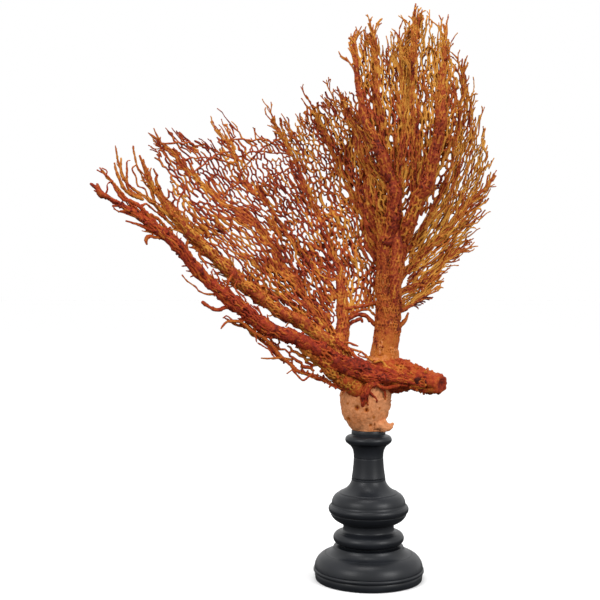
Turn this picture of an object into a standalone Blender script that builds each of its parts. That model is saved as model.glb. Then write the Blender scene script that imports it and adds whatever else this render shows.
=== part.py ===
"""A dried sea fan on a turned, black-stained wooden stand.

The frame is the stand's own: the origin is the centre of the foot's underside, +Z is up and the
fan's broad side faces -Y. Every size below is in millimetres.
"""

import math
import random

import bmesh
import bpy
import numpy as np
from mathutils import Vector
from mathutils.geometry import delaunay_2d_cdt

MM = 0.001
GAP = 0.35  # between pieces that touch

# The stand, turned in three pieces: foot, body and neck.
FOOT_RADIUS = 55.0
FOOT_TOP = 33.0
BODY_TOP = 100.5
STAND_TOP = 148.5
CAP_RADIUS = 17.0
TURNED_SIDES = 20

# The limbs.
FAN_OFFSET = 1.5  # of the fan from the stand's axis, toward +X
ROUTE_POINTS = 41  # points along the middle line of a limb or an edge
STATION_STEPS = 20  # steps of the smooth line from one station to the next
TRUNK_SIDES = 10
LIMB_SIDES = 6
TWIG_SIDES = 5
TRUNK_LIKE = 14.0  # a limb whose root is thicker than this has TRUNK_SIDES
TWIG_LIKE = 4.3  # a limb whose root is thinner than this has TWIG_SIDES
TRUNK_STEP = 9.5  # between the rings of a trunk
RING_STEP = 32.0  # between the rings of a limb

# The network between the limbs.
STRAND_RADIUS = 1.25
CELL_ACROSS = 17.0
CELL_ALONG = 56.0
FEWEST_ROWS = 3
ROW_STEP = 0.87  # between rows of cells, which are staggered, as a share of a cell
SCATTER = 0.22  # of a cell, by which its seed is off the regular rows
SHORTEST = 2.5 * STRAND_RADIUS  # a shorter strand isn't made
DEEPEST_CROTCH = 0.62  # keeps the point between two nearly parallel strands near their junction

# Limbs, from root to tip: (x, y, z, radius) at each station.
LIMBS = {
    "trunk": [
        (0, 0, 145, 15), (-1, 0, 151, 16.5), (-2.5, 0, 158, 20), (-4, 0, 169, 24), (-3.5, 0, 183, 25.2),
        (2, 0, 196, 22), (10, 2, 208, 17.5), (15, 3, 219, 15), (15, 4, 230, 13.2), (17.5, 4, 241, 12.6),
        (19, 5, 265, 12.2), (20, 5, 300, 12.2), (22, 4, 332, 12.4), (25, 0, 350, 9.5), (27, -4, 360, 5),
    ],
    "holdfast_lip": [
        (4, -10, 160, 6), (13, -13, 154, 4.2), (20, -12, 150.4, 3.2), (24, -11, 153, 2.6),
        (22.5, -10, 157.5, 1.6),
    ],
    "cut_branch": [
        (8, -2, 203, 17), (28, -10, 203.5, 16), (41, -18, 203, 12.4), (54, -27, 198.5, 10.8),
        (62, -35, 197.5, 10), (66, -39, 197.2, 8.6), (68.4, -41.2, 197, 5),
    ],
    "left_fork": [
        (2, -2, 192, 11), (-14, -5, 199, 12), (-28, -5, 214, 11), (-32, -1, 230, 9),
        (-32, 1, 240, 8),
    ],
    "middle_limb": [(-31, 0, 229, 8.5), (-27, 7, 252, 6), (-28, 12, 284, 5), (-30, 15, 302, 3.4)],
    "front_limb": [
        (7, -10, 203, 9), (-21, -26, 211, 8.5), (-65, -42, 237, 6.6), (-110, -56, 258, 6.2),
        (-156, -72, 297, 5.6), (-200, -88, 344, 4.4), (-228, -97, 362, 2.6), (-257, -107, 382, 1.5),
    ],
    "front_lobe": [
        (-3, -14, 190, 9), (-14, -18, 191, 9), (-31, -25, 204, 7.5), (-52, -36, 222, 5.5),
        (-72, -44, 238, 4),
    ],
    "front_tine": [
        (-196, -86, 338, 3), (-222, -92, 363, 2.4), (-236, -97, 380, 1.8), (-250, -101, 397, 1.2),
    ],
    "low_limb": [
        (-14, -20, 191, 4), (-33, -24, 193, 3.4), (-67, -32, 208, 2.8), (-89, -38, 223, 2.4),
        (-111, -46, 243, 2), (-141, -58, 261, 1.3),
    ],
    "second_limb": [
        (-31, -2, 230, 7.5), (-65, -14, 252, 6.6), (-112, -28, 282, 6.2), (-151, -42, 319, 5.8),
        (-178, -54, 346, 4), (-204, -66, 379, 2.6), (-219, -72, 412, 1.3),
    ],
    "second_tine": [
        (-176, -52, 343, 3), (-200, -63, 364, 2.6), (-226, -72, 381, 2.2), (-236, -77, 397, 1.7),
        (-240, -80, 420, 1.2),
    ],
    "third_limb": [
        (-30, 1, 236, 5.5), (-70, 2, 288, 3.8), (-112, -2, 350, 2.8), (-161, -12, 386, 2.6),
        (-191, -22, 419, 2), (-217, -30, 440, 1.3),
    ],
    "left_rib_1": [
        (-29, 6, 252, 4.2), (-32, 10, 278, 3.8), (-54, 16, 310, 3.2),
        (-87, 22, 350, 2.4), (-121, 22, 396, 1.9),
        (-156, 16, 455, 1.2),
    ],
    "left_rib_2": [
        (-28, 7, 254, 4.2), (-28, 12, 286, 4), (-36, 22, 330, 3.2),
        (-62, 30, 391, 2.2), (-85, 30, 443, 1.8),
        (-103, 28, 471, 1.2),
    ],
    "middle_rib_1": [
        (16, 4, 262, 4.2), (14, 8, 300, 4), (-7, 20, 365, 3), (-31, 28, 417, 2.2),
        (-64, 30, 489, 1.2),
    ],
    "middle_rib_2": [(19, 6, 318, 4.2), (1, 12, 384, 3), (-13, 18, 436, 2.2), (-32, 20, 496, 1.2)],
    "crown_left": [
        (17, 1, 327, 8), (22, -8, 356, 7), (23, -14, 385, 6.6), (12, -18, 418, 6), (0, -21, 442, 4.6),
        (-12, -23, 475, 3), (-19, -26, 540, 1.2),
    ],
    "crown_left_rib": [(22, -11, 372, 4), (13, -26, 424, 3.4), (6, -32, 472, 2.4), (0, -36, 536, 1.2)],
    "crown_mid_rib": [(24, -12, 378, 4), (29, -28, 424, 3.2), (29, -36, 471, 2.4), (26, -42, 522, 1.2)],
    "crown_right": [
        (28, 1, 327, 8), (40, -12, 360, 7), (44, -18, 380, 6.6), (56, -26, 405, 5.8), (62, -34, 442, 4.6),
        (63, -38, 472, 3.2), (68, -46, 545, 1.3),
    ],
    "crown_right_rib": [(43, -15, 372, 4), (40, -34, 442, 3.2), (38, -42, 489, 2.4), (40, -49, 560, 1.3)],
    "back_rib_1": [(17, 11, 324, 4), (13, 18, 400, 3), (8, 14, 460, 2.2), (2, 8, 524, 1.2)],
    "back_rib_2": [(25, 10, 324, 4), (31, 16, 400, 3), (34, 10, 460, 2.2), (33, 2, 532, 1.2)],
    "right_rib_1": [
        (27, 6, 308, 4.2), (53, -2, 353, 3), (76, -6, 397, 2.4), (88, -10, 456, 1.9),
        (90, -14, 516, 1.2),
    ],
    "right_rib_2": [
        (26, 6, 296, 4.2), (67, 8, 338, 3), (94, 12, 368, 2.4), (117, 16, 390, 1.8),
        (130, 18, 410, 1.2),
    ],
    "right_rib_3": [(24, 7, 282, 4.2), (60, 14, 300, 2.6), (80, 20, 320, 2), (99, 24, 331, 1.2)],
    "right_rib_4": [(22, 6, 264, 4.2), (40, 10, 272, 2.6), (62, 14, 288, 1.3)],
}

# Edges of networks where no limb runs: (x, y, z) at each station.
EDGES = {
    "front_fringe": [
        (-60, -40, 224), (-106, -54, 232), (-142, -66, 258), (-189, -88, 312), (-233, -104, 356),
    ],
    "second_fringe": [
        (-60, -12, 262), (-110, -26, 296), (-150, -40, 338), (-176, -54, 372), (-196, -66, 410),
    ],
    "crown_edge": [(48, -20, 372), (72, -30, 412), (82, -40, 452), (82, -44, 490), (76, -46, 534)],
}

# Networks: the limbs or edges that each one spans, where it starts and stops along the first and the
# last of them, as a share of their length, and how large its cells are.
NETS = {
    "front_web": ("front_lobe", "front_limb", (0.3, 0.1), (0.9, 0.28), 0.7),
    "low_net": ("low_limb", "front_limb", (0.3, 0.2), (0.98, 0.52), 0.7),
    "fringe_net": ("front_fringe", "front_limb", (0.2, 0.36), (1, 0.94), 0.62),
    "second_net": ("second_limb", "third_limb", (0.1, 0.06), (0.62, 0.56), 1),
    "second_fringe_net": ("second_limb", "second_fringe", (0.5, 0.5), (0.95, 1), 0.62),
    "left_net_1": ("third_limb", "left_rib_1", (0.08, 0.12), (1, 1), 1),
    "left_net_2": ("left_rib_1", "left_rib_2", (0.2, 0.2), (1, 1), 1),
    "left_net_3": ("left_rib_2", "middle_rib_1", (0.04, 0.04), (1, 1), 1),
    "middle_net": ("middle_rib_1", "middle_rib_2", (0.14, 0.14), (1, 1), 1),
    "inner_net": ("middle_rib_2", "crown_left", (0.12, 0.12), (0.94, 0.62), 1),
    "crown_net_1": ("crown_left", "crown_left_rib", (0.36, 0.16), (1, 1), 1),
    "crown_net_2": ("crown_left_rib", "crown_mid_rib", (0.14, 0.14), (1, 1), 1),
    "crown_net_3": ("crown_mid_rib", "crown_right_rib", (0.08, 0.1), (1, 1), 1),
    "crown_net_4": ("crown_right_rib", "crown_right", (0.1, 0.36), (1, 1), 1),
    "crown_net_5": ("crown_right", "crown_edge", (0.3, 0.1), (1, 1), 1),
    "right_net_1": ("right_rib_1", "right_rib_2", (0.12, 0.12), (1, 1), 1),
    "right_net_2": ("right_rib_2", "right_rib_3", (0.14, 0.14), (1, 1), 1.1),
    "right_net_3": ("right_rib_3", "right_rib_4", (0.14, 0.14), (1, 1), 0.9),
    "back_net_1": ("middle_rib_2", "back_rib_1", (0.2, 0.12), (0.96, 1), 1.4),
    "back_net_2": ("back_rib_1", "back_rib_2", (0.1, 0.1), (1, 1), 1.4),
    "back_net_3": ("back_rib_2", "right_rib_1", (0.14, 0.3), (1, 1), 1.4),
}

# Pieces, in the order in which they are cut back from each other where they meet.
PIECES = {
    "trunk": ["trunk", "holdfast_lip"],
    "cut_branch": ["cut_branch"],
    "left_fork": ["left_fork"],
    "middle_limb": ["middle_limb"],
    "front_limb": [
        "front_limb", "front_lobe", "front_tine", "low_limb", "front_web", "low_net", "fringe_net",
    ],
    "second_limb": ["second_limb", "second_tine", "second_fringe_net", "second_net"],
    "left_fan": ["third_limb", "left_rib_1", "left_rib_2", "left_net_1", "left_net_2"],
    "crown_left": ["crown_left", "crown_left_rib", "crown_mid_rib", "crown_net_1", "crown_net_2"],
    "crown_right": ["crown_right", "crown_right_rib", "crown_net_3", "crown_net_4", "crown_net_5"],
    "middle_fan": ["middle_rib_1", "middle_rib_2", "left_net_3", "middle_net", "inner_net"],
    "right_fan": [
        "right_rib_1", "right_rib_2", "right_rib_3", "right_rib_4", "right_net_1", "right_net_2",
        "right_net_3",
    ],
    "back_fan": ["back_rib_1", "back_rib_2", "back_net_1", "back_net_2", "back_net_3"],
}


def clear_scene():
    for obj in list(bpy.data.objects):
        bpy.data.objects.remove(obj)


def principled(name, colour, roughness):
    """A plain material of that colour and roughness."""
    material = bpy.data.materials.new(name)
    material.use_nodes = True
    shader = material.node_tree.nodes["Principled BSDF"]
    shader.inputs["Base Color"].default_value = (*colour, 1)
    shader.inputs["Roughness"].default_value = roughness
    shader.inputs["Metallic"].default_value = 0
    return material


def add_object(name, bm, material=None):
    """Makes an object of a bmesh. One with no material only cuts or joins, and isn't a piece."""
    bmesh.ops.recalc_face_normals(bm, faces=bm.faces)
    mesh = bpy.data.meshes.new(name)
    bm.to_mesh(mesh)
    bm.free()
    obj = bpy.data.objects.new(name, mesh)
    bpy.context.collection.objects.link(obj)
    if material is None:
        obj.hide_render = True
        obj.display_type = "WIRE"
    else:
        mesh.shade_smooth()
        mesh.set_sharp_from_angle(angle=math.radians(40))
        mesh.materials.append(material)
    return obj


# The turned stand


def bead(radius, low, high, bulge, count=5):
    """Points of a half-round bead on a shaft of that radius."""
    middle, half = (low + high) / 2, (high - low) / 2
    turns = [math.pi * (i / (count - 1) - 0.5) for i in range(count)]
    return [(radius + bulge * math.cos(a), middle + half * math.sin(a)) for a in turns]


def sweep(start, corner, end, count=4):
    """Points of a curve from start to end that leaves and arrives along the lines to corner."""
    shares = [i / (count - 1) for i in range(count)]
    return [
        tuple((1 - u) ** 2 * a + 2 * u * (1 - u) * b + u * u * c for a, b, c in zip(start, corner, end))
        for u in shares
    ]


def turn(name, profile, material=None):
    """A solid of revolution: the profile runs up its outer side, and both ends are flat."""
    bm = bmesh.new()
    outline = [(0, profile[0][1]), *profile, (0, profile[-1][1])]
    verts = [bm.verts.new((r * MM, 0, z * MM)) for r, z in outline]
    edges = [bm.edges.new(pair) for pair in zip(verts, verts[1:])]
    bmesh.ops.spin(
        bm, geom=verts + edges, cent=(0, 0, 0), axis=(0, 0, 1), angle=2 * math.pi, steps=TURNED_SIDES
    )
    bmesh.ops.remove_doubles(bm, verts=bm.verts, dist=0.01 * MM)
    return add_object(name, bm, material)


def build_stand(material):
    foot = [
        (FOOT_RADIUS - 1.8, 0),
        (FOOT_RADIUS - 1.2, 6.4),
        *bead(FOOT_RADIUS - 1.4, 7.4, 11.4, 1.4, 3),
        *sweep((FOOT_RADIUS - 1, 12), (53, 22), (44, 25.5)),
        *sweep((43, 25.8), (36, 27.5), (34.5, FOOT_TOP), 3),
    ]
    body = [
        (31, FOOT_TOP + GAP),
        *bead(29, 35, 47, 6.3),
        (25.6, 48.5),
        (25.4, 54.5),
        *sweep((27.5, 55.8), (36, 59), (38, 65), 3),
        *bead(37.6, 66, 73.5, 2.4, 4),
        *sweep((36.9, 75), (36.5, 82), (31, 85)),
        *sweep((29.2, 86.4), (19.5, 90), (17, BODY_TOP)),
    ]
    neck = [
        (16.8, BODY_TOP + GAP),
        *sweep((16.8, BODY_TOP + 1), (15.2, 110), (14.8, 120), 3)[1:],
        *sweep((14.8, 121.2), (14.6, 130), (19.5, 134), 3),
        *bead(19, 134.4, 143, 4.3),
        (CAP_RADIUS, 144),
        (CAP_RADIUS, STAND_TOP),
    ]
    turn("stand_foot", foot, material)
    turn("stand_body", body, material)
    turn("stand_neck", neck, material)


# Limbs


def route(stations, count):
    """A smooth line through the stations: count rows of their values, evenly spaced along it."""
    points = np.array(stations, float)
    ends = [2 * points[0] - points[1], *points, 2 * points[-1] - points[-2]]
    rows = []
    for a, b, c, d in zip(ends, ends[1:], ends[2:], ends[3:]):
        for u in np.linspace(0, 1, STATION_STEPS, endpoint=False):
            bend = 2 * a - 5 * b + 4 * c - d
            rows.append(0.5 * (2 * b + (c - a) * u + bend * u**2 + (3 * b - a - 3 * c + d) * u**3))
    rows = np.array([*rows, points[-1]])
    run = np.concatenate([[0], np.cumsum(np.linalg.norm(np.diff(rows[:, :3], axis=0), axis=1))])
    even = np.linspace(0, run[-1], count)
    line = np.stack([np.interp(even, run, column) for column in rows.T], axis=1)
    line[:, 0] += FAN_OFFSET
    return line


def length_of(line):
    return float(np.linalg.norm(np.diff(line[:, :3], axis=0), axis=1).sum())


def ring_line(name):
    """The middles and radii of a limb's rings."""
    stations = LIMBS[name]
    step = TRUNK_STEP if stations[0][3] >= TRUNK_LIKE else RING_STEP
    rings = round(length_of(route(stations, ROUTE_POINTS)) / step) + 1
    return route(stations, max(4, rings, len(stations)))


def middle_line(name):
    """ROUTE_POINTS points on the middle line of a limb's rings, or of an edge."""
    line = ring_line(name) if name in LIMBS else route(EDGES[name], ROUTE_POINTS)
    places = np.linspace(0, len(line) - 1, ROUTE_POINTS)
    return np.stack([np.interp(places, range(len(line)), column) for column in line.T], axis=1)


def limb_solid(name, grown=0.0):
    """A bmesh tube along a limb, with flat ends, grown all round by that much."""
    line = ring_line(name)
    root = line[0, 3]
    sides = TRUNK_SIDES if root >= TRUNK_LIKE else TWIG_SIDES if root < TWIG_LIKE else LIMB_SIDES
    line[:, 3] += grown
    for end, inner in ((0, 1), (-1, -2)):
        outward = line[end, :3] - line[inner, :3]
        line[end, :3] += grown * outward / np.linalg.norm(outward)
    bm = bmesh.new()
    side = Vector((0, -1, 0))
    rings = []
    for i, (x, y, z, radius) in enumerate(line):
        ahead = Vector(line[min(i + 1, len(line) - 1), :3] - line[max(i - 1, 0), :3]).normalized()
        side = (side - ahead * side.dot(ahead)).normalized()
        across = ahead.cross(side)
        ring = []
        for k in range(sides):
            angle = 2 * math.pi * k / sides
            reach = (side * math.cos(angle) + across * math.sin(angle)) * radius
            ring.append(bm.verts.new((Vector((x, y, z)) + reach) * MM))
        rings.append(ring)
    for low, high in zip(rings, rings[1:]):
        for k in range(sides):
            bm.faces.new((low[k], low[(k + 1) % sides], high[(k + 1) % sides], high[k]))
    bm.faces.new(rings[0][::-1])
    bm.faces.new(rings[-1])
    return bm


# Networks


def cell_seeds(widths, cell_across, rows, rng):
    """The middles of a network's cells, in staggered rows: (share across, row along)."""
    seeds = []
    number = 0
    place = -1.0
    while place < rows + 1.5:
        across = np.interp(place, np.linspace(0, rows, len(widths)), widths)
        count = max(2, round(across / cell_across) + 1)
        for i in range(-1, count + 1):
            share = (i + 0.5 * (number % 2) + rng.uniform(-SCATTER, SCATTER)) / (count - 1)
            seeds.append((share, place + rng.uniform(-SCATTER, SCATTER)))
        place += ROW_STEP
        number += 1
    return seeds


def cell_walls(seeds, aspect):
    """The walls between the seeds' cells: their corners, and the pairs of corners that they join."""
    plane = [Vector((a * aspect, b)) for a, b in seeds]
    points, _, faces, *_ = delaunay_2d_cdt(plane, [], [], 0, 1e-6)
    corners = [sum((points[i] for i in face), Vector((0, 0))) / 3 for face in faces]
    sides = {}
    for k, face in enumerate(faces):
        for i, j in zip(face, [*face[1:], face[0]]):
            sides.setdefault((min(i, j), max(i, j)), []).append(k)
    walls = [tuple(pair) for pair in sides.values() if len(pair) == 2]
    return [(p.x / aspect, p.y) for p in corners], walls


class Strip:
    """The curved strip between two guides, on which a network lies."""

    def __init__(self, net, own):
        first, last, self.low, self.high, self.scale = NETS[net]
        self.guides = [middle_line(name)[:, :3] for name in (first, last)]
        others = [name for name in (first, last) if name in LIMBS and name not in own]
        self.kept_clear = [middle_line(name) for name in others]

    def at(self, across, along):
        """The point at shares across the strip and along it."""
        ends = []
        for guide, low, high in zip(self.guides, self.low, self.high):
            place = (low + (high - low) * along) * (ROUTE_POINTS - 1)
            ends.append([np.interp(place, range(ROUTE_POINTS), column) for column in guide.T])
        return np.array(ends[0]) * (1 - across) + np.array(ends[1]) * across

    def free(self, across, along):
        """Whether a strand may be there: on the strip, and clear of a limb of another piece."""
        if not (0 <= across <= 1 and 0 <= along <= 1):
            return False
        point = self.at(across, along)
        for line in self.kept_clear:
            room = np.linalg.norm(line[:, :3] - point, axis=1) - line[:, 3]
            if room.min() < STRAND_RADIUS + GAP:
                return False
        return True

    def last_free(self, near, far):
        """The last free place on the way from a free one to one that isn't."""
        safe, blocked = np.array(near), np.array(far)
        for _ in range(10):
            middle = (safe + blocked) / 2
            if self.free(*middle):
                safe = middle
            else:
                blocked = middle
        return tuple(safe)


def strands(strip, rng):
    """The strands of a strip's network: its points, and the pairs of points that they join."""
    shares = np.linspace(0, 1, ROUTE_POINTS)
    middle = np.array([strip.at(0.5, u) for u in shares])
    cell_across = strip.scale * CELL_ACROSS
    rows = max(FEWEST_ROWS, length_of(middle) / (strip.scale * CELL_ALONG))
    widths = [np.linalg.norm(strip.at(1, u) - strip.at(0, u)) for u in shares]
    corners, walls = cell_walls(cell_seeds(widths, cell_across, rows, rng), max(widths) / cell_across)
    corners = [(across, row / rows) for across, row in corners]
    free = [strip.free(*corner) for corner in corners]
    points, numbers, pairs = [], {}, []

    def number_of(key, place):
        if key not in numbers:
            numbers[key] = len(points)
            points.append(strip.at(*place))
        return numbers[key]

    for i, j in walls:
        if free[i] and free[j]:
            pairs.append((number_of(i, corners[i]), number_of(j, corners[j])))
        elif free[i] or free[j]:
            near, far = (i, j) if free[i] else (j, i)
            tip = strip.last_free(corners[near], corners[far])
            if np.linalg.norm(strip.at(*tip) - strip.at(*corners[near])) > SHORTEST:
                pairs.append((number_of(near, corners[near]), number_of((i, j), tip)))
    return points, joined_close(points, pairs, SHORTEST)


def joined_close(points, pairs, least):
    """The pairs, with points closer to each other than least made one."""
    owner = list(range(len(points)))

    def root(i):
        while owner[i] != i:
            i = owner[i]
        return i

    for i, j in pairs:
        if np.linalg.norm(points[i] - points[j]) < least:
            owner[root(i)] = root(j)
    return sorted({tuple(sorted((root(i), root(j)))) for i, j in pairs if root(i) != root(j)})


def net_solid(net, own, grown=0.0):
    """A bmesh round a network's strands, grown by that much. Each junction has a front and a back
    point, and one point in each crotch between strands, so that strands meet in one surface."""
    strip = Strip(net, own)
    points, pairs = strands(strip, random.Random(list(NETS).index(net)))
    radius = STRAND_RADIUS + grown
    left, right = strip.guides
    middle = ROUTE_POINTS // 2
    facing = Vector(np.cross(right[middle] - left[middle], left[-1] - left[0])).normalized()
    up = facing.orthogonal().normalized()
    over = facing.cross(up)
    joined = {}
    for i, j in pairs:
        joined.setdefault(i, []).append(j)
        joined.setdefault(j, []).append(i)
    bm = bmesh.new()
    front, back, beside = {}, {}, {}

    def point(place):
        return bm.verts.new(place * MM)

    for i, others in joined.items():
        here = Vector(points[i])
        angles = {}
        for j in others:
            ahead = Vector(points[j]) - here
            angles[j] = math.atan2(ahead.dot(over), ahead.dot(up))
        if len(others) == 1:
            here -= (Vector(points[others[0]]) - here).normalized() * grown
        front[i], back[i] = point(here + facing * radius), point(here - facing * radius)
        order = sorted(others, key=angles.get)
        for j, following in zip(order, [*order[1:], order[0]]):
            opening = (angles[following] - angles[j]) % (2 * math.pi) if len(order) > 1 else math.pi
            angle = angles[j] + opening / 2
            reach = radius / max(DEEPEST_CROTCH, math.sin(opening / 2))
            beside[i, j, "after"] = point(here + (up * math.cos(angle) + over * math.sin(angle)) * reach)
            beside[i, following, "before"] = beside[i, j, "after"]
        if len(order) == 1:
            angle = angles[order[0]] - math.pi / 2
            aside = up * math.cos(angle) + over * math.sin(angle)
            beside[i, order[0], "before"] = point(here + aside * radius)
            bm.faces.new((front[i], beside[i, order[0], "after"], back[i], beside[i, order[0], "before"]))
    for i, j in pairs:
        start = (front[i], beside[i, j, "after"], back[i], beside[i, j, "before"])
        end = (front[j], beside[j, i, "before"], back[j], beside[j, i, "after"])
        for k in range(4):
            bm.faces.new((start[k], start[(k + 1) % 4], end[(k + 1) % 4], end[k]))
    return bm


# Pieces


def member(name, own, grown=0.0):
    """One limb or network of a piece, as a helper object."""
    bm = limb_solid(name, grown) if name in LIMBS else net_solid(name, own, grown)
    return add_object(f"{name}_{'clearance' if grown else 'member'}", bm)


def apart(obj, other):
    """Whether two objects' boxes are apart."""
    boxes = []
    for mesh in (obj.data, other.data):
        places = np.array([v.co for v in mesh.vertices])
        boxes.append((places.min(axis=0), places.max(axis=0)))
    (low_a, high_a), (low_b, high_b) = boxes
    return bool((low_a > high_b).any() or (low_b > high_a).any())


def add_boolean(obj, other, operation):
    modifier = obj.modifiers.new(other.name, "BOOLEAN")
    modifier.operation = operation
    modifier.object = other
    modifier.use_self = True  # some strands cross each other


def shape_of(obj):
    """A bmesh of an object's shape with its modifiers, without the crumbs that cuts leave loose."""
    graph = bpy.context.evaluated_depsgraph_get()
    bm = bmesh.new()
    bm.from_mesh(obj.evaluated_get(graph).data)
    left = set(bm.verts)
    bodies = []
    for start in bm.verts:
        if start not in left:
            continue
        left.remove(start)
        body, waiting = [start], [start]
        while waiting:
            for edge in waiting.pop().link_edges:
                for vert in edge.verts:
                    if vert in left:
                        left.remove(vert)
                        body.append(vert)
                        waiting.append(vert)
        bodies.append(body)
    main = max(bodies, key=len)
    for body in bodies:
        if body is not main:
            bmesh.ops.delete(bm, geom=body, context="VERTS")
    return bm


def build_fan(materials):
    """Each piece in turn: its members joined, and cut back from the pieces before it."""
    clearances = [turn("cap_clearance", [(CAP_RADIUS + GAP, 120), (CAP_RADIUS + GAP, STAND_TOP + GAP)])]
    for name, own in PIECES.items():
        members = [member(part, own) for part in own]
        whole = members[0]
        for other in members[1:]:
            add_boolean(whole, other, "UNION")
        joined = add_object(f"{name}_joined", shape_of(whole))
        for clearance in clearances:
            if not apart(joined, clearance):
                add_boolean(joined, clearance, "DIFFERENCE")
        add_object(name, shape_of(joined), materials[name] if name in materials else materials["fan"])
        clearances += [member(part, own, GAP) for part in own]


def build():
    clear_scene()
    materials = {
        "stand": principled("stand_black", (0.012, 0.014, 0.018), 0.42),
        "trunk": principled("trunk_peach", (0.56, 0.24, 0.10), 0.75),
        "cut_branch": principled("cut_branch_red", (0.36, 0.10, 0.03), 0.72),
        "fan": principled("fan_ochre", (0.43, 0.14, 0.035), 0.72),
    }
    build_stand(materials["stand"])
    build_fan(materials)


build()
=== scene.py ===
import math
import random

import bpy
import numpy as np
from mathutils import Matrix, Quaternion, Vector, noise
from mathutils.geometry import delaunay_2d_cdt


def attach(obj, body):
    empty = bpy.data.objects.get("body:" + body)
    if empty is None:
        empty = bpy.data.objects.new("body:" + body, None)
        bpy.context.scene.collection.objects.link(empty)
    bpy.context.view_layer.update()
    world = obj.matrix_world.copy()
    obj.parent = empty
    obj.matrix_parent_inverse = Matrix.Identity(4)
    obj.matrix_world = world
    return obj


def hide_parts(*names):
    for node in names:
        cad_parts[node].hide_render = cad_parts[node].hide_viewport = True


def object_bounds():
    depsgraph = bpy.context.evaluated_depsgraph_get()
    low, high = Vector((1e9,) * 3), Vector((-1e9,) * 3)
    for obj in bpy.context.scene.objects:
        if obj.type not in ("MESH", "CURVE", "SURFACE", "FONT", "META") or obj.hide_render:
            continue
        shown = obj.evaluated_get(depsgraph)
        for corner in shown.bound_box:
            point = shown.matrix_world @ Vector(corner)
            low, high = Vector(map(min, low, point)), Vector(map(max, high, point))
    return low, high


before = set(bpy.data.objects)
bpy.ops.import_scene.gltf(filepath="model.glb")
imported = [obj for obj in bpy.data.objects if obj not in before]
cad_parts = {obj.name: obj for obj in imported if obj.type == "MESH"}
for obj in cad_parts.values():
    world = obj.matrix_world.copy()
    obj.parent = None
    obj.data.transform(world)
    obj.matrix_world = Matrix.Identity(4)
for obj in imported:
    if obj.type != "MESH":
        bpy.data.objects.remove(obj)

cad_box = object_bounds()

# The studio: a plain white floor that runs to the horizon, two soft lamps in front and one above,
# and a camera one metre in front of the stand, level with the middle of the fan.
scene = bpy.context.scene
scene.view_settings.view_transform = "Standard"
camera = bpy.data.objects.new("camera", bpy.data.cameras.new("camera"))
camera.data.lens = 60
camera.data.sensor_width = 36
camera.location = (-0.0685, -1.0, 0.278)
camera.rotation_euler = (math.radians(90), 0, 0)
scene.collection.objects.link(camera)
scene.camera = camera


def plug(tree, made, sockets):
    """Sets each named socket of a node to a value, or links it to another node's output."""
    for name, value in sockets.items():
        if isinstance(value, bpy.types.NodeSocket):
            tree.links.new(value, made.inputs[name])
        else:
            made.inputs[name].default_value = value


def add_node(tree, kind, sockets=None, **settings):
    """A new shader node with its sockets plugged."""
    made = tree.nodes.new("ShaderNode" + kind)
    for name, value in settings.items():
        setattr(made, name, value)
    plug(tree, made, sockets or {})
    return made


sky = bpy.data.worlds.new("white_room")
sky.use_nodes = True
room = sky.node_tree
direction = add_node(room, "TexCoord").outputs["Generated"]
height = add_node(room, "SeparateXYZ", {"Vector": direction}).outputs["Z"]
dome = add_node(room, "MapRange", {
    "From Min": -0.12, "From Max": -0.02, "To Min": 0.1, "To Max": 1.0, "Value": height,
}).outputs["Result"]
plug(room, room.nodes["Background"], {"Color": dome})
scene.world = sky

lit_spot = Vector((-0.05, 0, 0.3))
for lamp_name, place, width, power in (
    ("left_lamp", (-1.1, -1.1, 0.9), 0.7, 10),
    ("right_lamp", (1.0, -1.0, 0.7), 0.6, 10.5),
    ("top_lamp", (-0.2, -0.2, 1.8), 0.8, 10),
):
    lamp = bpy.data.objects.new(lamp_name, bpy.data.lights.new(lamp_name, "AREA"))
    lamp.data.size = width
    lamp.data.energy = power
    lamp.location = place
    lamp.rotation_euler = (lit_spot - Vector(place)).to_track_quat("-Z", "Y").to_euler()
    scene.collection.objects.link(lamp)

far = 900
floor_mesh = bpy.data.meshes.new("floor")
floor_mesh.from_pydata([(-far, -far, 0), (far, -far, 0), (far, far, 0), (-far, far, 0)], [], [(0, 1, 2, 3)])
floor = bpy.data.objects.new("floor", floor_mesh)
floor.location.z = -0.0002
floor.visible_diffuse = False
floor.visible_glossy = False
scene.collection.objects.link(floor)
floor_paint = bpy.data.materials.new("floor_paint")
floor_paint.use_nodes = True
plug(floor_paint.node_tree, floor_paint.node_tree.nodes["Principled BSDF"], {
    "Base Color": (1, 1, 1, 1), "Roughness": 1, "Specular IOR Level": 0,
})
floor_mesh.materials.append(floor_paint)

# The stand: a foot, a body and a neck of close-grained wood, each turned on a lathe, stained black
# and rubbed to a satin polish, and glued one on top of the other.
MM = 0.001
GLUE_GAP = 0.35
TURNED_STEPS = 128
FOOT_RADIUS, FOOT_TOP, BODY_TOP, STAND_TOP, CAP_RADIUS = 55.0, 33.0, 100.5, 148.5, 17.0


def bead(radius, low, high, bulge, count=14):
    """Points of a half-round bead on a shaft of that radius."""
    middle, half = (low + high) / 2, (high - low) / 2
    turns = [math.pi * (i / (count - 1) - 0.5) for i in range(count)]
    return [(radius + bulge * math.cos(a), middle + half * math.sin(a)) for a in turns]


def sweep(start, corner, end, count=14):
    """Points of a curve from start to end that leaves and arrives along the lines to corner."""
    shares = [i / (count - 1) for i in range(count)]
    return [
        tuple((1 - u) ** 2 * a + 2 * u * (1 - u) * b + u * u * c for a, b, c in zip(start, corner, end))
        for u in shares
    ]


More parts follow.
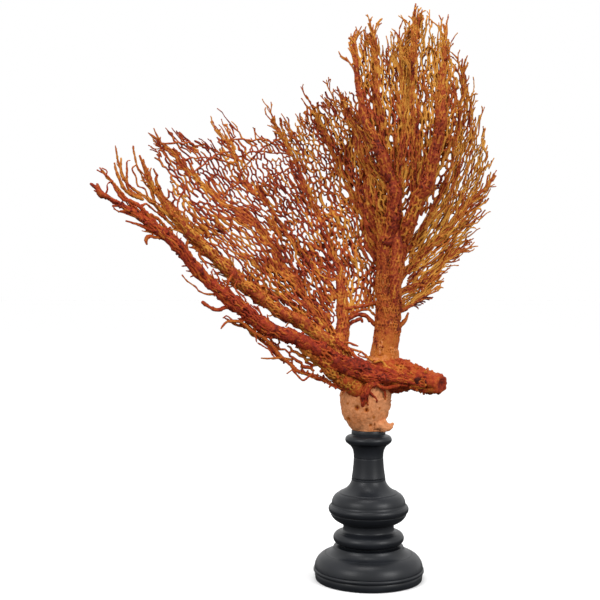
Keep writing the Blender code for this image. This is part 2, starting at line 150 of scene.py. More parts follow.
def turned(name, profile):
    """A piece of the stand: the profile, from the bottom up, spun round the axis."""
    outline = [(0, profile[0][1])] + list(profile) + [(0, profile[-1][1])]
    ring = len(outline) - 2
    points = [(0, 0, outline[0][1] * MM), (0, 0, outline[-1][1] * MM)]
    for k in range(TURNED_STEPS):
        angle = 2 * math.pi * k / TURNED_STEPS
        points += [(r * MM * math.cos(angle), r * MM * math.sin(angle), z * MM) for r, z in profile]
    faces = []
    for k in range(TURNED_STEPS):
        here, there = 2 + k * ring, 2 + (k + 1) % TURNED_STEPS * ring
        faces.append((0, there, here))
        faces.append((1, here + ring - 1, there + ring - 1))
        faces += [(here + i, there + i, there + i + 1, here + i + 1) for i in range(ring - 1)]
    mesh = bpy.data.meshes.new(name)
    mesh.from_pydata(points, [], faces)
    mesh.shade_smooth()
    mesh.set_sharp_from_angle(angle=math.radians(32))
    obj = bpy.data.objects.new(name, mesh)
    scene.collection.objects.link(obj)
    return obj


black_wood = bpy.data.materials.new("black_stained_wood")
black_wood.use_nodes = True
wood = black_wood.node_tree
place = add_node(wood, "TexCoord").outputs["Object"]
upright = add_node(wood, "Mapping", {"Scale": (1, 1, 0.06), "Vector": place}).outputs["Vector"]
grain = add_node(wood, "TexNoise", {"Scale": 900, "Detail": 4, "Vector": upright}).outputs["Fac"]
level = add_node(wood, "Mapping", {"Scale": (0.02, 0.02, 1), "Vector": place}).outputs["Vector"]
tool_marks = add_node(wood, "TexNoise", {"Scale": 1400, "Detail": 2, "Vector": level}).outputs["Fac"]
clouds = add_node(wood, "TexNoise", {"Scale": 38, "Detail": 5, "Vector": place}).outputs["Fac"]
lathe_bump = add_node(wood, "Bump", {
    "Strength": 0.3, "Distance": 0.00012, "Height": tool_marks,
}).outputs["Normal"]
grain_bump = add_node(wood, "Bump", {
    "Strength": 0.25, "Distance": 0.00012, "Height": grain, "Normal": lathe_bump,
}).outputs["Normal"]


def toned(tree, share, tones):
    """The colour at that share of a ramp of tones, each (position, colour)."""
    ramp = add_node(tree, "ValToRGB", {"Fac": share})
    elements = ramp.color_ramp.elements
    while len(elements) < len(tones):
        elements.new(0.5)
    for element, (position, colour) in zip(elements, tones):
        element.position = position
        element.color = (*colour, 1)
    return ramp.outputs["Color"]


plug(wood, wood.nodes["Principled BSDF"], {
    "Base Color": toned(wood, clouds, ((0.3, (0.0055, 0.0065, 0.0085)), (0.72, (0.013, 0.0145, 0.018)))),
    "Roughness": add_node(wood, "MapRange", {
        "To Min": 0.3, "To Max": 0.46, "Value": grain,
    }).outputs["Result"],
    "Specular IOR Level": 0.3,
    "Normal": grain_bump,
})

turned_foot = turned("turned_foot", [
    (FOOT_RADIUS - 3, 0), (FOOT_RADIUS - 2.1, 0.25), (FOOT_RADIUS - 1.8, 0.9), (FOOT_RADIUS - 1.3, 5.6),
    (FOOT_RADIUS - 1.7, 6.6), (FOOT_RADIUS - 1.9, 7.2),
    *bead(FOOT_RADIUS - 1.4, 7.4, 11.4, 1.4),
    *sweep((FOOT_RADIUS - 1, 12), (53, 22), (44, 25.5), 24),
    (43.4, 25.75), (43.2, 25.5),
    *sweep((43, 25.8), (36, 27.5), (34.8, FOOT_TOP - 0.4), 16),
    (34.2, FOOT_TOP),
])
turned_body = turned("turned_body", [
    (30.6, FOOT_TOP + GLUE_GAP), (31, FOOT_TOP + 0.6), (29.4, FOOT_TOP + 1.3),
    *bead(29, 35, 47, 6.3, 24),
    (27, 47.6), (25.8, 48.5),
    *sweep((25.6, 49), (25.1, 52), (25.4, 54.9), 8),
    (26.6, 55.2), (27.3, 55.4),
    *sweep((27.5, 55.8), (36, 59), (38, 65), 20),
    (37.6, 65.6),
    *bead(37.6, 66, 73.5, 2.4, 18),
    (37.1, 74.4),
    *sweep((36.9, 75), (36.5, 82), (31, 85), 20),
    (30, 85.4), (29.4, 85.9),
    *sweep((29.2, 86.4), (19.5, 90), (17, BODY_TOP - 2.6), 24),
    (16.8, BODY_TOP - 2.3), (17, BODY_TOP - 2.0), (16.9, BODY_TOP - 0.3), (16.5, BODY_TOP),
])
turned_neck = turned("turned_neck", [
    (16.4, BODY_TOP + GLUE_GAP), (16.8, BODY_TOP + 0.7),
    *sweep((16.8, BODY_TOP + 1), (15.2, 110), (14.8, 120), 20)[1:],
    (14.75, 120.3), (14.5, 120.6), (14.75, 120.9),
    *sweep((14.8, 121.2), (14.6, 130), (19.3, 133.6), 20),
    (19.9, 133.9), (20.2, 134.1),
    *bead(19, 134.4, 143, 4.3, 20),
    (17.9, 143.4), (17.2, 143.7), (CAP_RADIUS - 0.1, 144),
    (CAP_RADIUS, 144.6), (CAP_RADIUS, 147.6), (CAP_RADIUS - 0.3, 148.2), (CAP_RADIUS - 0.9, STAND_TOP),
])
for piece, node in ((turned_foot, "stand_foot"), (turned_body, "stand_body"), (turned_neck, "stand_neck")):
    piece.data.materials.append(black_wood)
    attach(piece, "root")
    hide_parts(node)

# The holdfast and trunk: the smooth peach crust by which the coral held to its rock, the golden,
# grainy stem above it, and the curled lip at its lower right. It is fixed on the stand's cap.
FAN_OFFSET = 1.5
SIN_60 = 0.87
EASED_ROWS = 6
noise.seed_set(7)


def run_along(line):
    """How far along a line each of its rows stands."""
    return np.concatenate([[0], np.cumsum(np.linalg.norm(np.diff(line[:, :3], axis=0), axis=1))])


def grown_line(stations, step):
    """A smooth line through stations of (x, y, z, radius) in mm, with a row about every step mm."""
    points = np.array(stations, float)
    ends = [2 * points[0] - points[1], *points, 2 * points[-1] - points[-2]]
    rows = []
    for a, b, c, d in zip(ends, ends[1:], ends[2:], ends[3:]):
        for u in np.linspace(0, 1, 20, endpoint=False):
            bend = 2 * a - 5 * b + 4 * c - d
            rows.append(0.5 * (2 * b + (c - a) * u + bend * u**2 + (3 * b - a - 3 * c + d) * u**3))
    rows = np.array([*rows, points[-1]])
    run = run_along(rows)
    count = max(4, round(run[-1] / step) + 1)
    even = np.linspace(0, run[-1], count)
    line = np.stack([np.interp(even, run, column) for column in rows.T], axis=1)
    line[:, 0] += FAN_OFFSET
    line[:, 3] = np.maximum(line[:, 3], 0.5)
    return line


def at_share(line, shares):
    """Rows of a line at those shares of its length."""
    places = np.asarray(shares) * (len(line) - 1)
    return np.stack([np.interp(places, range(len(line)), column) for column in line.T], axis=-1)


def wander(line, amount, seed, wave=24):
    """The line, swayed a little off its way as grown wood is, but not at its ends."""
    swayed = line.copy()
    for i, row in enumerate(swayed):
        here = Vector(line[i, :3])
        ease = min(1, i / EASED_ROWS, (len(line) - 1 - i) / EASED_ROWS)
        row[:3] += np.array(noise.noise_vector(here / wave + Vector((seed * 3.7, 0, 0)))) * amount * ease
        row[3] *= 1 + 0.35 * noise.noise(here / 7 + Vector((0, seed * 2.3, 0)))
    return swayed


class Growth:
    """The skin of one piece of the coral, in mm, gathered limb by limb and strand by strand. Each
    point keeps how red it is, painted light and shade included: 0 is ochre, 1 is dark red."""

    def __init__(self):
        self.points, self.faces, self.redness_and_shade = [], [], []

    def add(self, point, redness_and_shade):
        self.points.append(point)
        self.redness_and_shade.append(redness_and_shade)
        return len(self.points) - 1


def rings_along(line):
    """The two directions across a line at each of its rows, turning as little as they can."""
    sides, acrosses = [], []
    side = Vector((0, -1, 0))
    for i in range(len(line)):
        ahead = Vector(line[min(i + 1, len(line) - 1), :3] - line[max(i - 1, 0), :3]).normalized()
        side = (side - ahead * side.dot(ahead)).normalized()
        sides.append(side.copy())
        acrosses.append(ahead.cross(side))
    return sides, acrosses


def limb(growth, line, around, red, lumps=0.1, flutes=0.12, seed=0, dents=(), dome=0.7, end_red=None):
    """The core of a limb: a lumpy, fluted tube along the line, with ends that stand out by dome times
    their radius, or that are hollow where dome is negative."""
    sides, acrosses = rings_along(line)
    rings = []
    for i, (x, y, z, radius) in enumerate(line):
        middle = Vector((x, y, z))
        ring = []
        for k in range(around):
            angle = 2 * math.pi * k / around
            out = sides[i] * math.cos(angle) + acrosses[i] * math.sin(angle)
            skin = middle + out * radius
            flute = noise.noise(out * (0.35 * radius) + Vector((seed, i * 0.06, 0)))
            lump = noise.noise(skin * (0.9 / max(radius, 2.5)) + Vector((0, 0, seed)))
            lump += 0.5 * noise.noise(skin * 0.55 + Vector((seed, 0, 0)))
            reach = radius * (1 + flutes * flute * 2 + lumps * lump * 2)
            tone_and_shade = red + 0.25 * lump
            # Painted shade: each dent sinks the skin and is painted darker towards its middle, as shade in
            # the pit.
            for spot, size, depth in dents:
                away = (skin - spot).length / size
                if away < 1:
                    reach -= depth * (1 - away**2) ** 2
                    tone_and_shade += 0.9 * (1 - away**2)
            ring.append(growth.add(middle + out * reach, tone_and_shade))
        rings.append(ring)
    for low, high in zip(rings, rings[1:]):
        for k in range(around):
            growth.faces.append((low[k], low[(k + 1) % around], high[(k + 1) % around], high[k]))
    tip_red = red if end_red is None else end_red
    for ring, end, inner in ((rings[0][::-1], 0, 1), (rings[-1], -1, -2)):
        outward = Vector(line[end, :3] - line[inner, :3]).normalized()
        middle = Vector(line[end, :3])
        reach = line[end, 3]
        cap = []
        for number in ring:
            inward = middle + (growth.points[number] - middle) * 0.6 + outward * reach * dome * 0.7
            cap.append(growth.add(inward, tip_red))
        for k in range(around):
            growth.faces.append((ring[k], ring[(k + 1) % around], cap[(k + 1) % around], cap[k]))
        tip = growth.add(middle + outward * reach * dome, tip_red)
        for k in range(around):
            growth.faces.append((cap[k], cap[(k + 1) % around], tip))


LONG_WAY = 3.6
SIX_SIDES = ((1, 0), (0.5, SIN_60), (-0.5, SIN_60), (-1, 0), (-0.5, -SIN_60), (0.5, -SIN_60))


def strands(growth, spots, facings, reds, ways, rng):
    """Six-sided strands along the ways between spots, fused where they meet. Each way is (one spot,
    the other spot, radius), and one longer than LONG_WAY bends in its middle. Facings are the
    outward directions of the sheet in which they lie."""
    joined = {}
    for i, j, radius in ways:
        joined.setdefault(i, []).append((j, radius))
        joined.setdefault(j, []).append((i, radius))
    front, back, beside = {}, {}, {}
    for i, others in joined.items():
        here, facing = Vector(spots[i]), Vector(facings[i])
        up = facing.orthogonal().normalized()
        over = facing.cross(up)
        thick = sum(radius for _, radius in others) / len(others) * (0.75 if len(others) == 1 else 1.1)
        angles = {}
        for j, _ in others:
            ahead = Vector(spots[j]) - here
            angles[j] = math.atan2(ahead.dot(over), ahead.dot(up))
        order = sorted(angles, key=angles.get)
        # Painted light and shade: the outward side of each strand is painted paler and its inner side
        # darker.
        front[i] = growth.add(here + facing * thick, reds[i] - 0.1)
        back[i] = growth.add(here - facing * thick, reds[i] + 0.1)

        def edges(angle, reach):
            aside = (up * math.cos(angle) + over * math.sin(angle)) * reach * SIN_60
            return tuple(
                growth.add(here + aside + facing * (thick * half), reds[i]) for half in (0.5, -0.5)
            )

        for j, following in zip(order, [*order[1:], order[0]]):
            opening = (angles[following] - angles[j]) % (2 * math.pi) if len(order) > 1 else math.pi
            pair = edges(angles[j] + opening / 2, thick / max(0.55, math.sin(opening / 2)))
            beside[i, j, "after"] = beside[i, following, "before"] = pair
        if len(order) == 1:
            j = order[0]
            pair = beside[i, j, "before"] = edges(angles[j] - math.pi / 2, thick)
            growth.faces.append((front[i], pair[0], pair[1], back[i], *beside[i, j, "after"][::-1]))
    for i, j, radius in ways:
        (after, after_back), (before, before_back) = beside[i, j, "after"], beside[i, j, "before"]
        rings = [(front[i], after, after_back, back[i], before_back, before)]
        start, end = Vector(spots[i]), Vector(spots[j])
        length = (end - start).length
        if length > LONG_WAY:
            facing = (Vector(facings[i]) + Vector(facings[j])).normalized()
            aside = facing.cross((end - start).normalized()).normalized()
            middle = (start + end) / 2 + aside * rng.uniform(-0.2, 0.2) * length
            middle += facing * rng.uniform(-0.5, 0.5)
            red = (reds[i] + reds[j]) / 2 + rng.uniform(-0.1, 0.1)
            # The middle ring is painted the same way: paler on its outward side, darker on its inner side.
            rings.append(tuple(
                growth.add(middle + (facing * ahead + aside * across) * radius, red - 0.1 * ahead)
                for ahead, across in SIX_SIDES
            ))
        (after, after_back), (before, before_back) = beside[j, i, "after"], beside[j, i, "before"]
        rings.append((front[j], before, before_back, back[j], after_back, after))
        for one, other in zip(rings, rings[1:]):
            for k in range(6):
                growth.faces.append((one[k], other[k], other[(k + 1) % 6], one[(k + 1) % 6]))


def cell_walls(seeds):
    """The walls between the seeds' cells: their corners, and the pairs of corners that they join."""
    points, _, faces, *_ = delaunay_2d_cdt([Vector(seed) for seed in seeds], [], [], 0, 1e-6)
    corners = [sum((points[i] for i in face), Vector((0, 0))) / 3 for face in faces]
    sides = {}
    for k, face in enumerate(faces):
        for i, j in zip(face, [*face[1:], face[0]]):
            sides.setdefault((min(i, j), max(i, j)), []).append(k)
    return corners, [pair for pair in sides.values() if len(pair) == 2]


def bark(growth, line, red, across=3.0, along=7, radius=1.1, seed=0, low=0.0, high=1.0,
         sunk=0.35, rise=0.0, vary=0.4):
    """The fused strands that show in relief on a limb: a net wound once round it, with cells that
    measure across by along. Low and high are the shares of the limb's length where it starts and
    ends, sunk is how deep its strands lie in the limb, and rise the share of its length over which
    they come out of it. Vary is how much their redness changes along the limb."""
    rng = random.Random(seed)
    line = at_share(line, np.linspace(low, high, len(line)))
    run = run_along(line)
    count = max(4, round(2 * math.pi * line[:, 3].mean() / across))
    rows = run[-1] / along
    seeds = []
    number = 0
    place = -1.0
    while place < rows + 1:
        for k in range(count):
            spot = (k + 0.5 * (number % 2) + rng.uniform(-0.25, 0.25), place + rng.uniform(-0.3, 0.3))
            seeds += [(spot[0] + turn, spot[1]) for turn in (-count, 0, count)]
        place += SIN_60
        number += 1
    corners, walls = cell_walls(seeds)
    kept = {}
    spots, facings, reds, slimmer = [], [], [], []
    sides, acrosses = rings_along(line)

    def key(corner):
        return round(corner.x % count * 500) % (count * 500), round(corner.y * 500)

    for corner in corners:
        if 0 <= corner.x < count and 0 <= corner.y <= rows:
            place = corner.y / rows * (len(line) - 1)
            i = min(int(place), len(line) - 2)
            x, y, z, thick = line[i] + (line[i + 1] - line[i]) * (place - i)
            angle = 2 * math.pi * corner.x / count
            out = (sides[i] * math.cos(angle) + acrosses[i] * math.sin(angle)).normalized()
            kept[key(corner)] = len(spots)
            uneven = 1 + 0.22 * noise.noise(Vector((x, y, z)) / 9 + out * 1.3 + Vector((seed, 0, 0)))
            hidden = 1.6 * max(0, 1 - corner.y / rows / rise) if rise else 0
            spot = Vector((x, y, z)) + out * (thick * uneven - radius * (sunk + hidden))
            spots.append(spot)
            facings.append(out)
            streak = noise.noise(Vector((corner.x / 0.8, corner.y * along / 30, seed)))
            reds.append(red + vary * noise.noise(spot / 14) + 0.5 * streak + rng.uniform(-0.1, 0.1))
            slimmer.append(min(1, 0.3 + 0.15 * thick))
    ways = set()
    for a, b in walls:
        i, j = kept.get(key(corners[a])), kept.get(key(corners[b]))
        if i is not None and j is not None and i != j:
            if (spots[i] - spots[j]).length < 2.2 * along:
                ways.add((min(i, j), max(i, j)))
    strands(growth, spots, facings, reds,
            [(i, j, radius * slimmer[i] * rng.uniform(0.7, 1.25)) for i, j in sorted(ways)], rng)


def rib(growth, line, red, seed):
    """A thin limb within a net: a core with a few strands fused along it."""
    core = line.copy()
    core[:, 3] *= 0.55
    limb(growth, core, 8, red + 0.1, 0.2, 0.12, seed)
    bark(growth, line, red, 3.4, 12, 1.0, seed + 0.5, 0, 1, 0.7)


def twigs(growth, red, seed, *twig_stations):
    """Single twigs and loops, each a thin limb of its own."""
    for number, stations in enumerate(twig_stations):
        limb(growth, grown_line(stations, 1.9), 7, red + 0.3 * noise.noise(Vector((seed, number, 0.4))),
             0.3, 0.15, seed + number)


TWIG_MARGIN = 1.6
TWIG_STEP = 3
THINNEST_TWIG = 0.55


def spray(growth, spot, heading, facing, length, radius, red, rng, forks=2):
    """A free twig that wanders, and forks once or twice, in the plane across facing."""
    low, high = (np.array(corner) / MM for corner in cad_box)
    low, high = low + TWIG_MARGIN, high - TWIG_MARGIN
    rows = [(*spot, radius)]
    heading = heading.normalized()
    steps = max(3, round(length / TWIG_STEP))
    turn = rng.uniform(-0.04, 0.04)
    for step in range(steps):
        heading.rotate(Quaternion(facing, turn + rng.uniform(-0.14, 0.14)))
        spot = spot + heading * (length / steps)
        if any(a < b or a > c for a, b, c in zip(spot, low, high)):
            break
        rows.append((*spot, max(radius * (1 - 0.5 * (step + 1) / steps), THINNEST_TWIG)))
        if forks and step and rng.random() < 0.45:
            side = heading.copy()
            side.rotate(Quaternion(facing, rng.choice((-1, 1)) * rng.uniform(0.25, 0.5)))
            shorter = length * rng.uniform(0.35, 0.6)
            spray(growth, spot, side, facing, shorter, radius * 0.8, red, rng, forks - 1)
    if len(rows) > 2:
        limb(growth, np.array(rows), 5, red + rng.uniform(-0.2, 0.2), 0.1, 0.1, rng.random() * 40)


def shoots(growth, line, count, length, red, seed, low=0.3, high=1.0, turns=(-0.3, 0.3)):
    """Free twigs along a limb from low to high of its length, which leave it within those turns."""
    rng = random.Random(seed)
    facing = Vector((0, -1, 0.1)).normalized()
    for _ in range(count):
        share = rng.uniform(low, high)
        here, there = at_share(line, share), at_share(line, min(share + 0.03, 1.0))
        back = at_share(line, max(share - 0.03, 0.0))
        heading = Vector(there[:3] - back[:3]).normalized()
        turn = rng.uniform(*turns)
        aside = facing.cross(heading).normalized() * math.copysign(here[3] * 0.7, turn)
        heading.rotate(Quaternion(facing, turn))
        spray(growth, Vector(here[:3]) + aside, heading, facing, length * rng.uniform(0.5, 1.3),
              min(1.2, max(here[3], 0.8)), red, rng)


def knobs(growth, line, count, red, size=1.5, seed=0, low=0.05, high=0.95):
    """Small knobs and broken twig stubs, standing on a limb."""
    rng = random.Random(seed)
    sides, acrosses = rings_along(line)
    for _ in range(count):
        share = rng.uniform(low, high)
        x, y, z, radius = at_share(line, share)
        i = round(share * (len(line) - 1))
        angle = rng.uniform(0, 2 * math.pi)
        out = sides[i] * math.cos(angle) + acrosses[i] * math.sin(angle)
        ahead = acrosses[i].cross(sides[i]) * -1
        thick = size * rng.uniform(0.6, 1.2)
        reach = thick * rng.uniform(0.3, 1.3)
        root = Vector((x, y, z)) + out * (radius - thick * 0.6)
        tip = root + (out + ahead * rng.uniform(-0.2, 0.7)) * (reach + thick * 0.6)
        rows = [(*root, thick * 1.3), (*((root + tip) / 2), thick * 1.05), (*tip, thick * 0.95)]
        limb(growth, np.array(rows), 6, red + rng.uniform(-0.2, 0.3), 0.2, 0.1, rng.random() * 50)


def grow(name, growth, material):
    """Makes an object of a growth, kept within the box of the solids."""
    low, high = Vector(cad_box[0]), Vector(cad_box[1])
    points = [
        Vector(min(max(c, a), b) for c, a, b in zip(point * MM, low, high)) for point in growth.points
    ]
    mesh = bpy.data.meshes.new(name)
    mesh.from_pydata(points, [], growth.faces)
    redness_and_shade = mesh.attributes.new("redness_and_shade", "FLOAT", "POINT")
    redness_and_shade.data.foreach_set("value", growth.redness_and_shade)
    mesh.shade_smooth()
    mesh.materials.append(material)
    obj = bpy.data.objects.new(name, mesh)
    scene.collection.objects.link(obj)
    return obj


def coral_finish(name, tones, granule=0.0011, relief=0.0004, mottle=0.5):
    """A dry, grainy horn finish. Its tones run from the palest crust to the darkest horn."""
    material = bpy.data.materials.new(name)
    material.use_nodes = True
    horn = material.node_tree
    place = add_node(horn, "TexCoord").outputs["Object"]
    redness_and_shade = add_node(horn, "Attribute", attribute_name="redness_and_shade").outputs["Fac"]
    blotches = add_node(horn, "TexNoise", {"Scale": 85, "Detail": 3, "Vector": place}).outputs["Fac"]
    speckle = add_node(horn, "TexNoise", {"Scale": 420, "Detail": 2, "Vector": place}).outputs["Fac"]
    granules = add_node(horn, "TexVoronoi", {"Scale": 1 / granule, "Vector": place}).outputs["Distance"]
    shifts = [
        add_node(horn, "Math", {0: texture, 1: size, 2: -size / 2}, operation="MULTIPLY_ADD").outputs[0]
        for texture, size in ((blotches, mottle), (speckle, mottle * 2))
    ]
    blotched = add_node(horn, "Math", {0: redness_and_shade, 1: shifts[0]}).outputs[0]
    tone_and_shade = add_node(horn, "Math", {0: blotched, 1: shifts[1]}, use_clamp=True).outputs[0]
    grain_bump = add_node(horn, "Bump", {
        "Strength": 0.6, "Distance": relief, "Height": granules,
    }, invert=True)
    lump_bump = add_node(horn, "Bump", {
        "Strength": 0.5, "Distance": relief * 2, "Height": speckle, "Normal": grain_bump.outputs["Normal"],
    })
    plug(horn, horn.nodes["Principled BSDF"], {
        "Base Color": toned(horn, tone_and_shade, tones),
        "Roughness": add_node(horn, "MapRange", {
            "To Min": 0.55, "To Max": 0.85, "Value": speckle,
        }).outputs["Result"],
        "Specular IOR Level": 0.18,
        "Normal": lump_bump.outputs["Normal"],
    })
    return material


holdfast_finish = coral_finish("peach_holdfast", (
    (0.0, (0.68, 0.28, 0.12)), (0.3, (0.54, 0.185, 0.062)), (0.5, (0.43, 0.13, 0.018)),
    (0.7, (0.38, 0.095, 0.014)), (0.87, (0.31, 0.052, 0.010)), (1.0, (0.13, 0.017, 0.005)),
), granule=0.0013, relief=0.0006, mottle=0.3)
CRUST_TOP, CRUST_FADE = 198, 50
trunk_line = grown_line([
    (0, 0, 145, 15), (-1, 0, 151, 16.5), (-2.5, 0, 158, 20), (-4, 0, 169, 24), (-3.5, 0, 183, 25.2),
    (2, 0, 196, 22), (10, 2, 208, 17.5), (15, 3, 219, 15), (15, 4, 230, 13.2), (17.5, 4, 241, 12.6),
    (19, 5, 265, 12.2), (20, 5, 300, 12.2), (22, 4, 332, 12.4), (25, 0, 350, 9.5), (27, -4, 360, 5),
], 1.3)
# Pits in the crust. Each is painted darker towards its middle: painted shade in the pit.
holdfast_pits = []
for angle, level, size, depth in (
    (-115, 172.5, 3.2, 3.2), (-92, 170.5, 2.6, 3), (-148, 160.8, 3.2, 2.6), (-165, 186.2, 3.6, 3),
    (-86, 154.9, 2, 1.8), (-70, 155, 1.8, 1.6), (-140, 176, 1.6, 1), (-60, 172, 1.5, 1),
    (-75, 163, 1.4, 0.9), (-45, 181, 2.2, 1.4), (60, 172, 3, 2.6), (120, 181, 3.4, 3), (150, 163, 2.6, 2.4),
    (40, 190, 2.6, 2.2), (10, 166, 2.2, 1.8), (95, 160, 2.4, 2), (-20, 175, 2, 1.4), (80, 192, 2.8, 2),
    (170, 172, 2, 1.6),
):
    x, y, z, radius = (np.interp(level, trunk_line[:, 2], column) for column in trunk_line.T)
    angle = math.radians(angle)
    spot = Vector((x + radius * math.cos(angle), y + radius * math.sin(angle), z))
    holdfast_pits.append((spot, size, depth))
holdfast = Growth()
limb(holdfast, trunk_line, 110, 0.1, 0.035, 0.035, 3, holdfast_pits)
core_count = len(holdfast.points)
lip_line = grown_line([
    (5, -10, 157, 8), (11, -13, 154.6, 6), (16, -13.6, 152.9, 4.2), (19.8, -13, 153.8, 2.8),
    (21.6, -12.5, 156, 1.6),
], 1.5)
limb(holdfast, lip_line, 24, 0.1, 0.26, 0.16, 5)
bark(holdfast, trunk_line, 0.3, 2.7, 3.6, 0.8, 7, 0.34, 0.97, 0.3, rise=0.25, vary=0.25)
bark(holdfast, trunk_line, 0.42, 5, 9, 1.0, 8, 0.36, 0.97, 0.3, rise=0.25, vary=0.25)
knobs(holdfast, trunk_line, 40, 0.4, 1.1, 9, 0.4, 0.95)
twigs(holdfast, 0.4, 14,
      [(27, 2, 250, 2.8), (33, 2, 255, 2.2), (36.5, 2, 260, 1.8), (38.5, 2, 265, 1)],
      [(27, 1, 266, 2.8), (33, 0, 268, 2.6), (38, 0, 271, 2.2), (43, 1, 273, 1.8)])
for number, point in enumerate(holdfast.points):
    browner = min(max((point.z - CRUST_TOP) / CRUST_FADE, 0), 1)
    stained = 0.25 * max(noise.noise(point / 6), 0) * browner
    holdfast.redness_and_shade[number] += (0.66 if number < core_count else 0.4) * browner + stained
holdfast_and_trunk = grow("holdfast_and_trunk", holdfast, holdfast_finish)
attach(holdfast_and_trunk, "root")
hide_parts("trunk")

# The cut branch: the stub of a thick limb of dark red, knobbly horn, sawn off to the right of the
# trunk. It is grown into the trunk, and its roots run on over the holdfast and the left branches.
red_bark = coral_finish("red_bark", (
    (0.0, (0.50, 0.20, 0.026)), (0.28, (0.42, 0.115, 0.014)), (0.5, (0.36, 0.056, 0.009)),
    (0.7, (0.28, 0.026, 0.007)), (0.86, (0.15, 0.012, 0.004)), (1.0, (0.05, 0.006, 0.003)),
), relief=0.0006, mottle=0.35)
stub_line = grown_line([
    (8, -2, 203, 17), (28, -10, 203.5, 16), (41, -18, 202.6, 12.2), (51, -26, 199, 10.8),
    (58, -32, 197.6, 10), (62.5, -36.5, 197.3, 9.8), (65, -39, 197.1, 9.2), (66, -40, 197, 7.8),
], 1.8)
stub = Growth()
# The three dents in the stub's front are painted darker towards their middles: painted shade in the
# hollows.
limb(stub, stub_line, 56, 0.52, 0.08, 0.1, 11, [
    (Vector((22, -26, 199.5)), 5, 3.4), (Vector((33, -29, 198.6)), 5, 3.2),
    (Vector((47, -37, 196.5)), 9, 2.4),
], -0.14, 0.8)
bark(stub, stub_line, 0.58, 3.2, 5, 1.0, 12, 0.1, 0.84, 0.8, vary=0.25)
knobs(stub, stub_line, 60, 0.4, 1.5, 13, 0.25, 0.86)
for number, stations in enumerate((
    [(-52.6, -34, 227.8, 4.2), (-41, -32, 222.8, 4.4), (-26.2, -27, 215.7, 4.4), (-15.3, -24, 211.6, 4),
     (-5.5, -22, 208.6, 4), (8.3, -21, 206, 3.8), (22.7, -24, 204.8, 3.6), (37, -27, 203.1, 3),
     (51.2, -30, 201.4, 2)],
    [(-52.7, -38, 222.2, 4.2), (-41, -34, 216.2, 4.6), (-26.4, -30, 210.1, 4.6), (-13.6, -27, 205.5, 4.2),
     (-3.7, -25, 202.9, 4), (8.1, -24, 201.9, 3.8), (22.5, -26, 200.6, 3.6), (38.6, -30, 198.9, 2.8),
     (53.6, -34, 197.8, 1.8)],
    [(-34.3, -9, 237.4, 3), (-23.7, -14, 228.7, 2.4), (-18, -18, 223, 2.1), (-10.2, -20, 218.2, 2),
     (-2.4, -21, 214.4, 2.2), (4.4, -21, 211.9, 2), (11.3, -21, 209.5, 1.9), (19.9, -23, 206.7, 1.8),
     (29.2, -27, 204.1, 1.6), (41.7, -29, 201.3, 1)],
    [(15.9, -23, 201.9, 2.4), (6, -24, 200, 2.8), (-1.8, -24.4, 197.1, 3.4), (-5.2, -25.2, 191.5, 3.6),
     (-7.4, -25.4, 185.4, 3.4), (-8.4, -25, 179.6, 3), (-8.6, -24.4, 174.6, 1.8)],
    [(8, -24, 199, 2.4), (0.1, -25, 195.2, 2.5), (-3.8, -25, 189.4, 2.3), (-5.2, -24.8, 182.5, 1.9),
     (-3.7, -24.6, 175.6, 1.2)],
)):
    root_line = wander(grown_line(stations, 2.2), 2, 14 + number, 10)
    limb(stub, root_line, 14, 0.68, 0.25, 0.15, 14 + number)
    bark(stub, root_line, 0.55, 3, 6, 0.9, 24 + number)
twigs(stub, 0.72, 14,
      [(-5.7, -24.6, 191.3, 1.6), (-0.9, -25.5, 194.8, 1.8), (3.9, -25.5, 196.3, 2), (9.9, -25, 193.3, 2),
       (15.8, -24, 192.2, 2), (20.7, -24, 193.8, 2), (28.4, -25.5, 195.5, 1.8), (35.1, -26.5, 194.3, 1.2)],
      [(-3.8, -25, 190.3, 1.6), (0.1, -25.2, 186, 1.3), (4.6, -24.6, 181, 1.1), (5.2, -24.2, 178.4, 0.8)],
      [(-8.6, -24.6, 188.4, 1.4), (-14, -22.5, 184, 1.2), (-17, -20.5, 179, 0.8)],
      [(9.9, -24, 193.3, 1.5), (13, -21.5, 188, 1.2), (13.5, -20.5, 183, 0.8)])
cut_stub = grow("cut_stub", stub, red_bark)
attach(cut_stub, "root")
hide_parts("cut_branch")

# The left fork and the middle limb: the thick arm of ochre horn that leaves the trunk low on the
# left, and the limb that climbs from it behind the others, with the first twigs of the net.
fan_finish = coral_finish("fan_horn", (
    (0.0, (0.60, 0.27, 0.042)), (0.28, (0.48, 0.165, 0.021)), (0.48, (0.385, 0.09, 0.014)),
    (0.66, (0.30, 0.042, 0.011)), (0.84, (0.17, 0.017, 0.006)), (1.0, (0.07, 0.008, 0.004)),
))
fork_line = grown_line([
    (2, -2, 192, 11), (-14, -5, 199, 12), (-28, -5, 214, 11), (-32, -1, 230, 9), (-32, 1, 240, 8),
], 3)
fork = Growth()
limb(fork, fork_line, 24, 0.45, 0.08, 0.1, 21)
bark(fork, fork_line, 0.42, 3, 6, 1.1, 22)
knobs(fork, fork_line, 16, 0.5, 1.2, 24)
twigs(fork, 0.4, 25,
      [(-32.3, -9, 234.4, 2.2), (-22.7, -10, 235.5, 1.4), (-17.6, -11, 234, 1.2), (-12.7, -12, 232.6, 0.9)],
      [(-26.4, -9, 231.4, 1.2), (-18.6, -11, 229.5, 1.1), (-12.7, -12, 227.6, 1.1), (-9.2, -12, 226.6, 1.1),
       (-4.8, -12, 223.2, 1.1), (-1.8, -12, 220.2, 1.2), (2.1, -12, 217.7, 1.2)],
      [(-9.7, -12, 226.6, 1), (-12.6, -13, 224.2, 1), (-8.8, -13, 222.2, 1), (-4.9, -13, 221.1, 1),
       (-1.8, -12, 220.7, 1)])
left_fork = grow("left_branch_fork", fork, fan_finish)
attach(left_fork, "root")
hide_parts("left_fork")

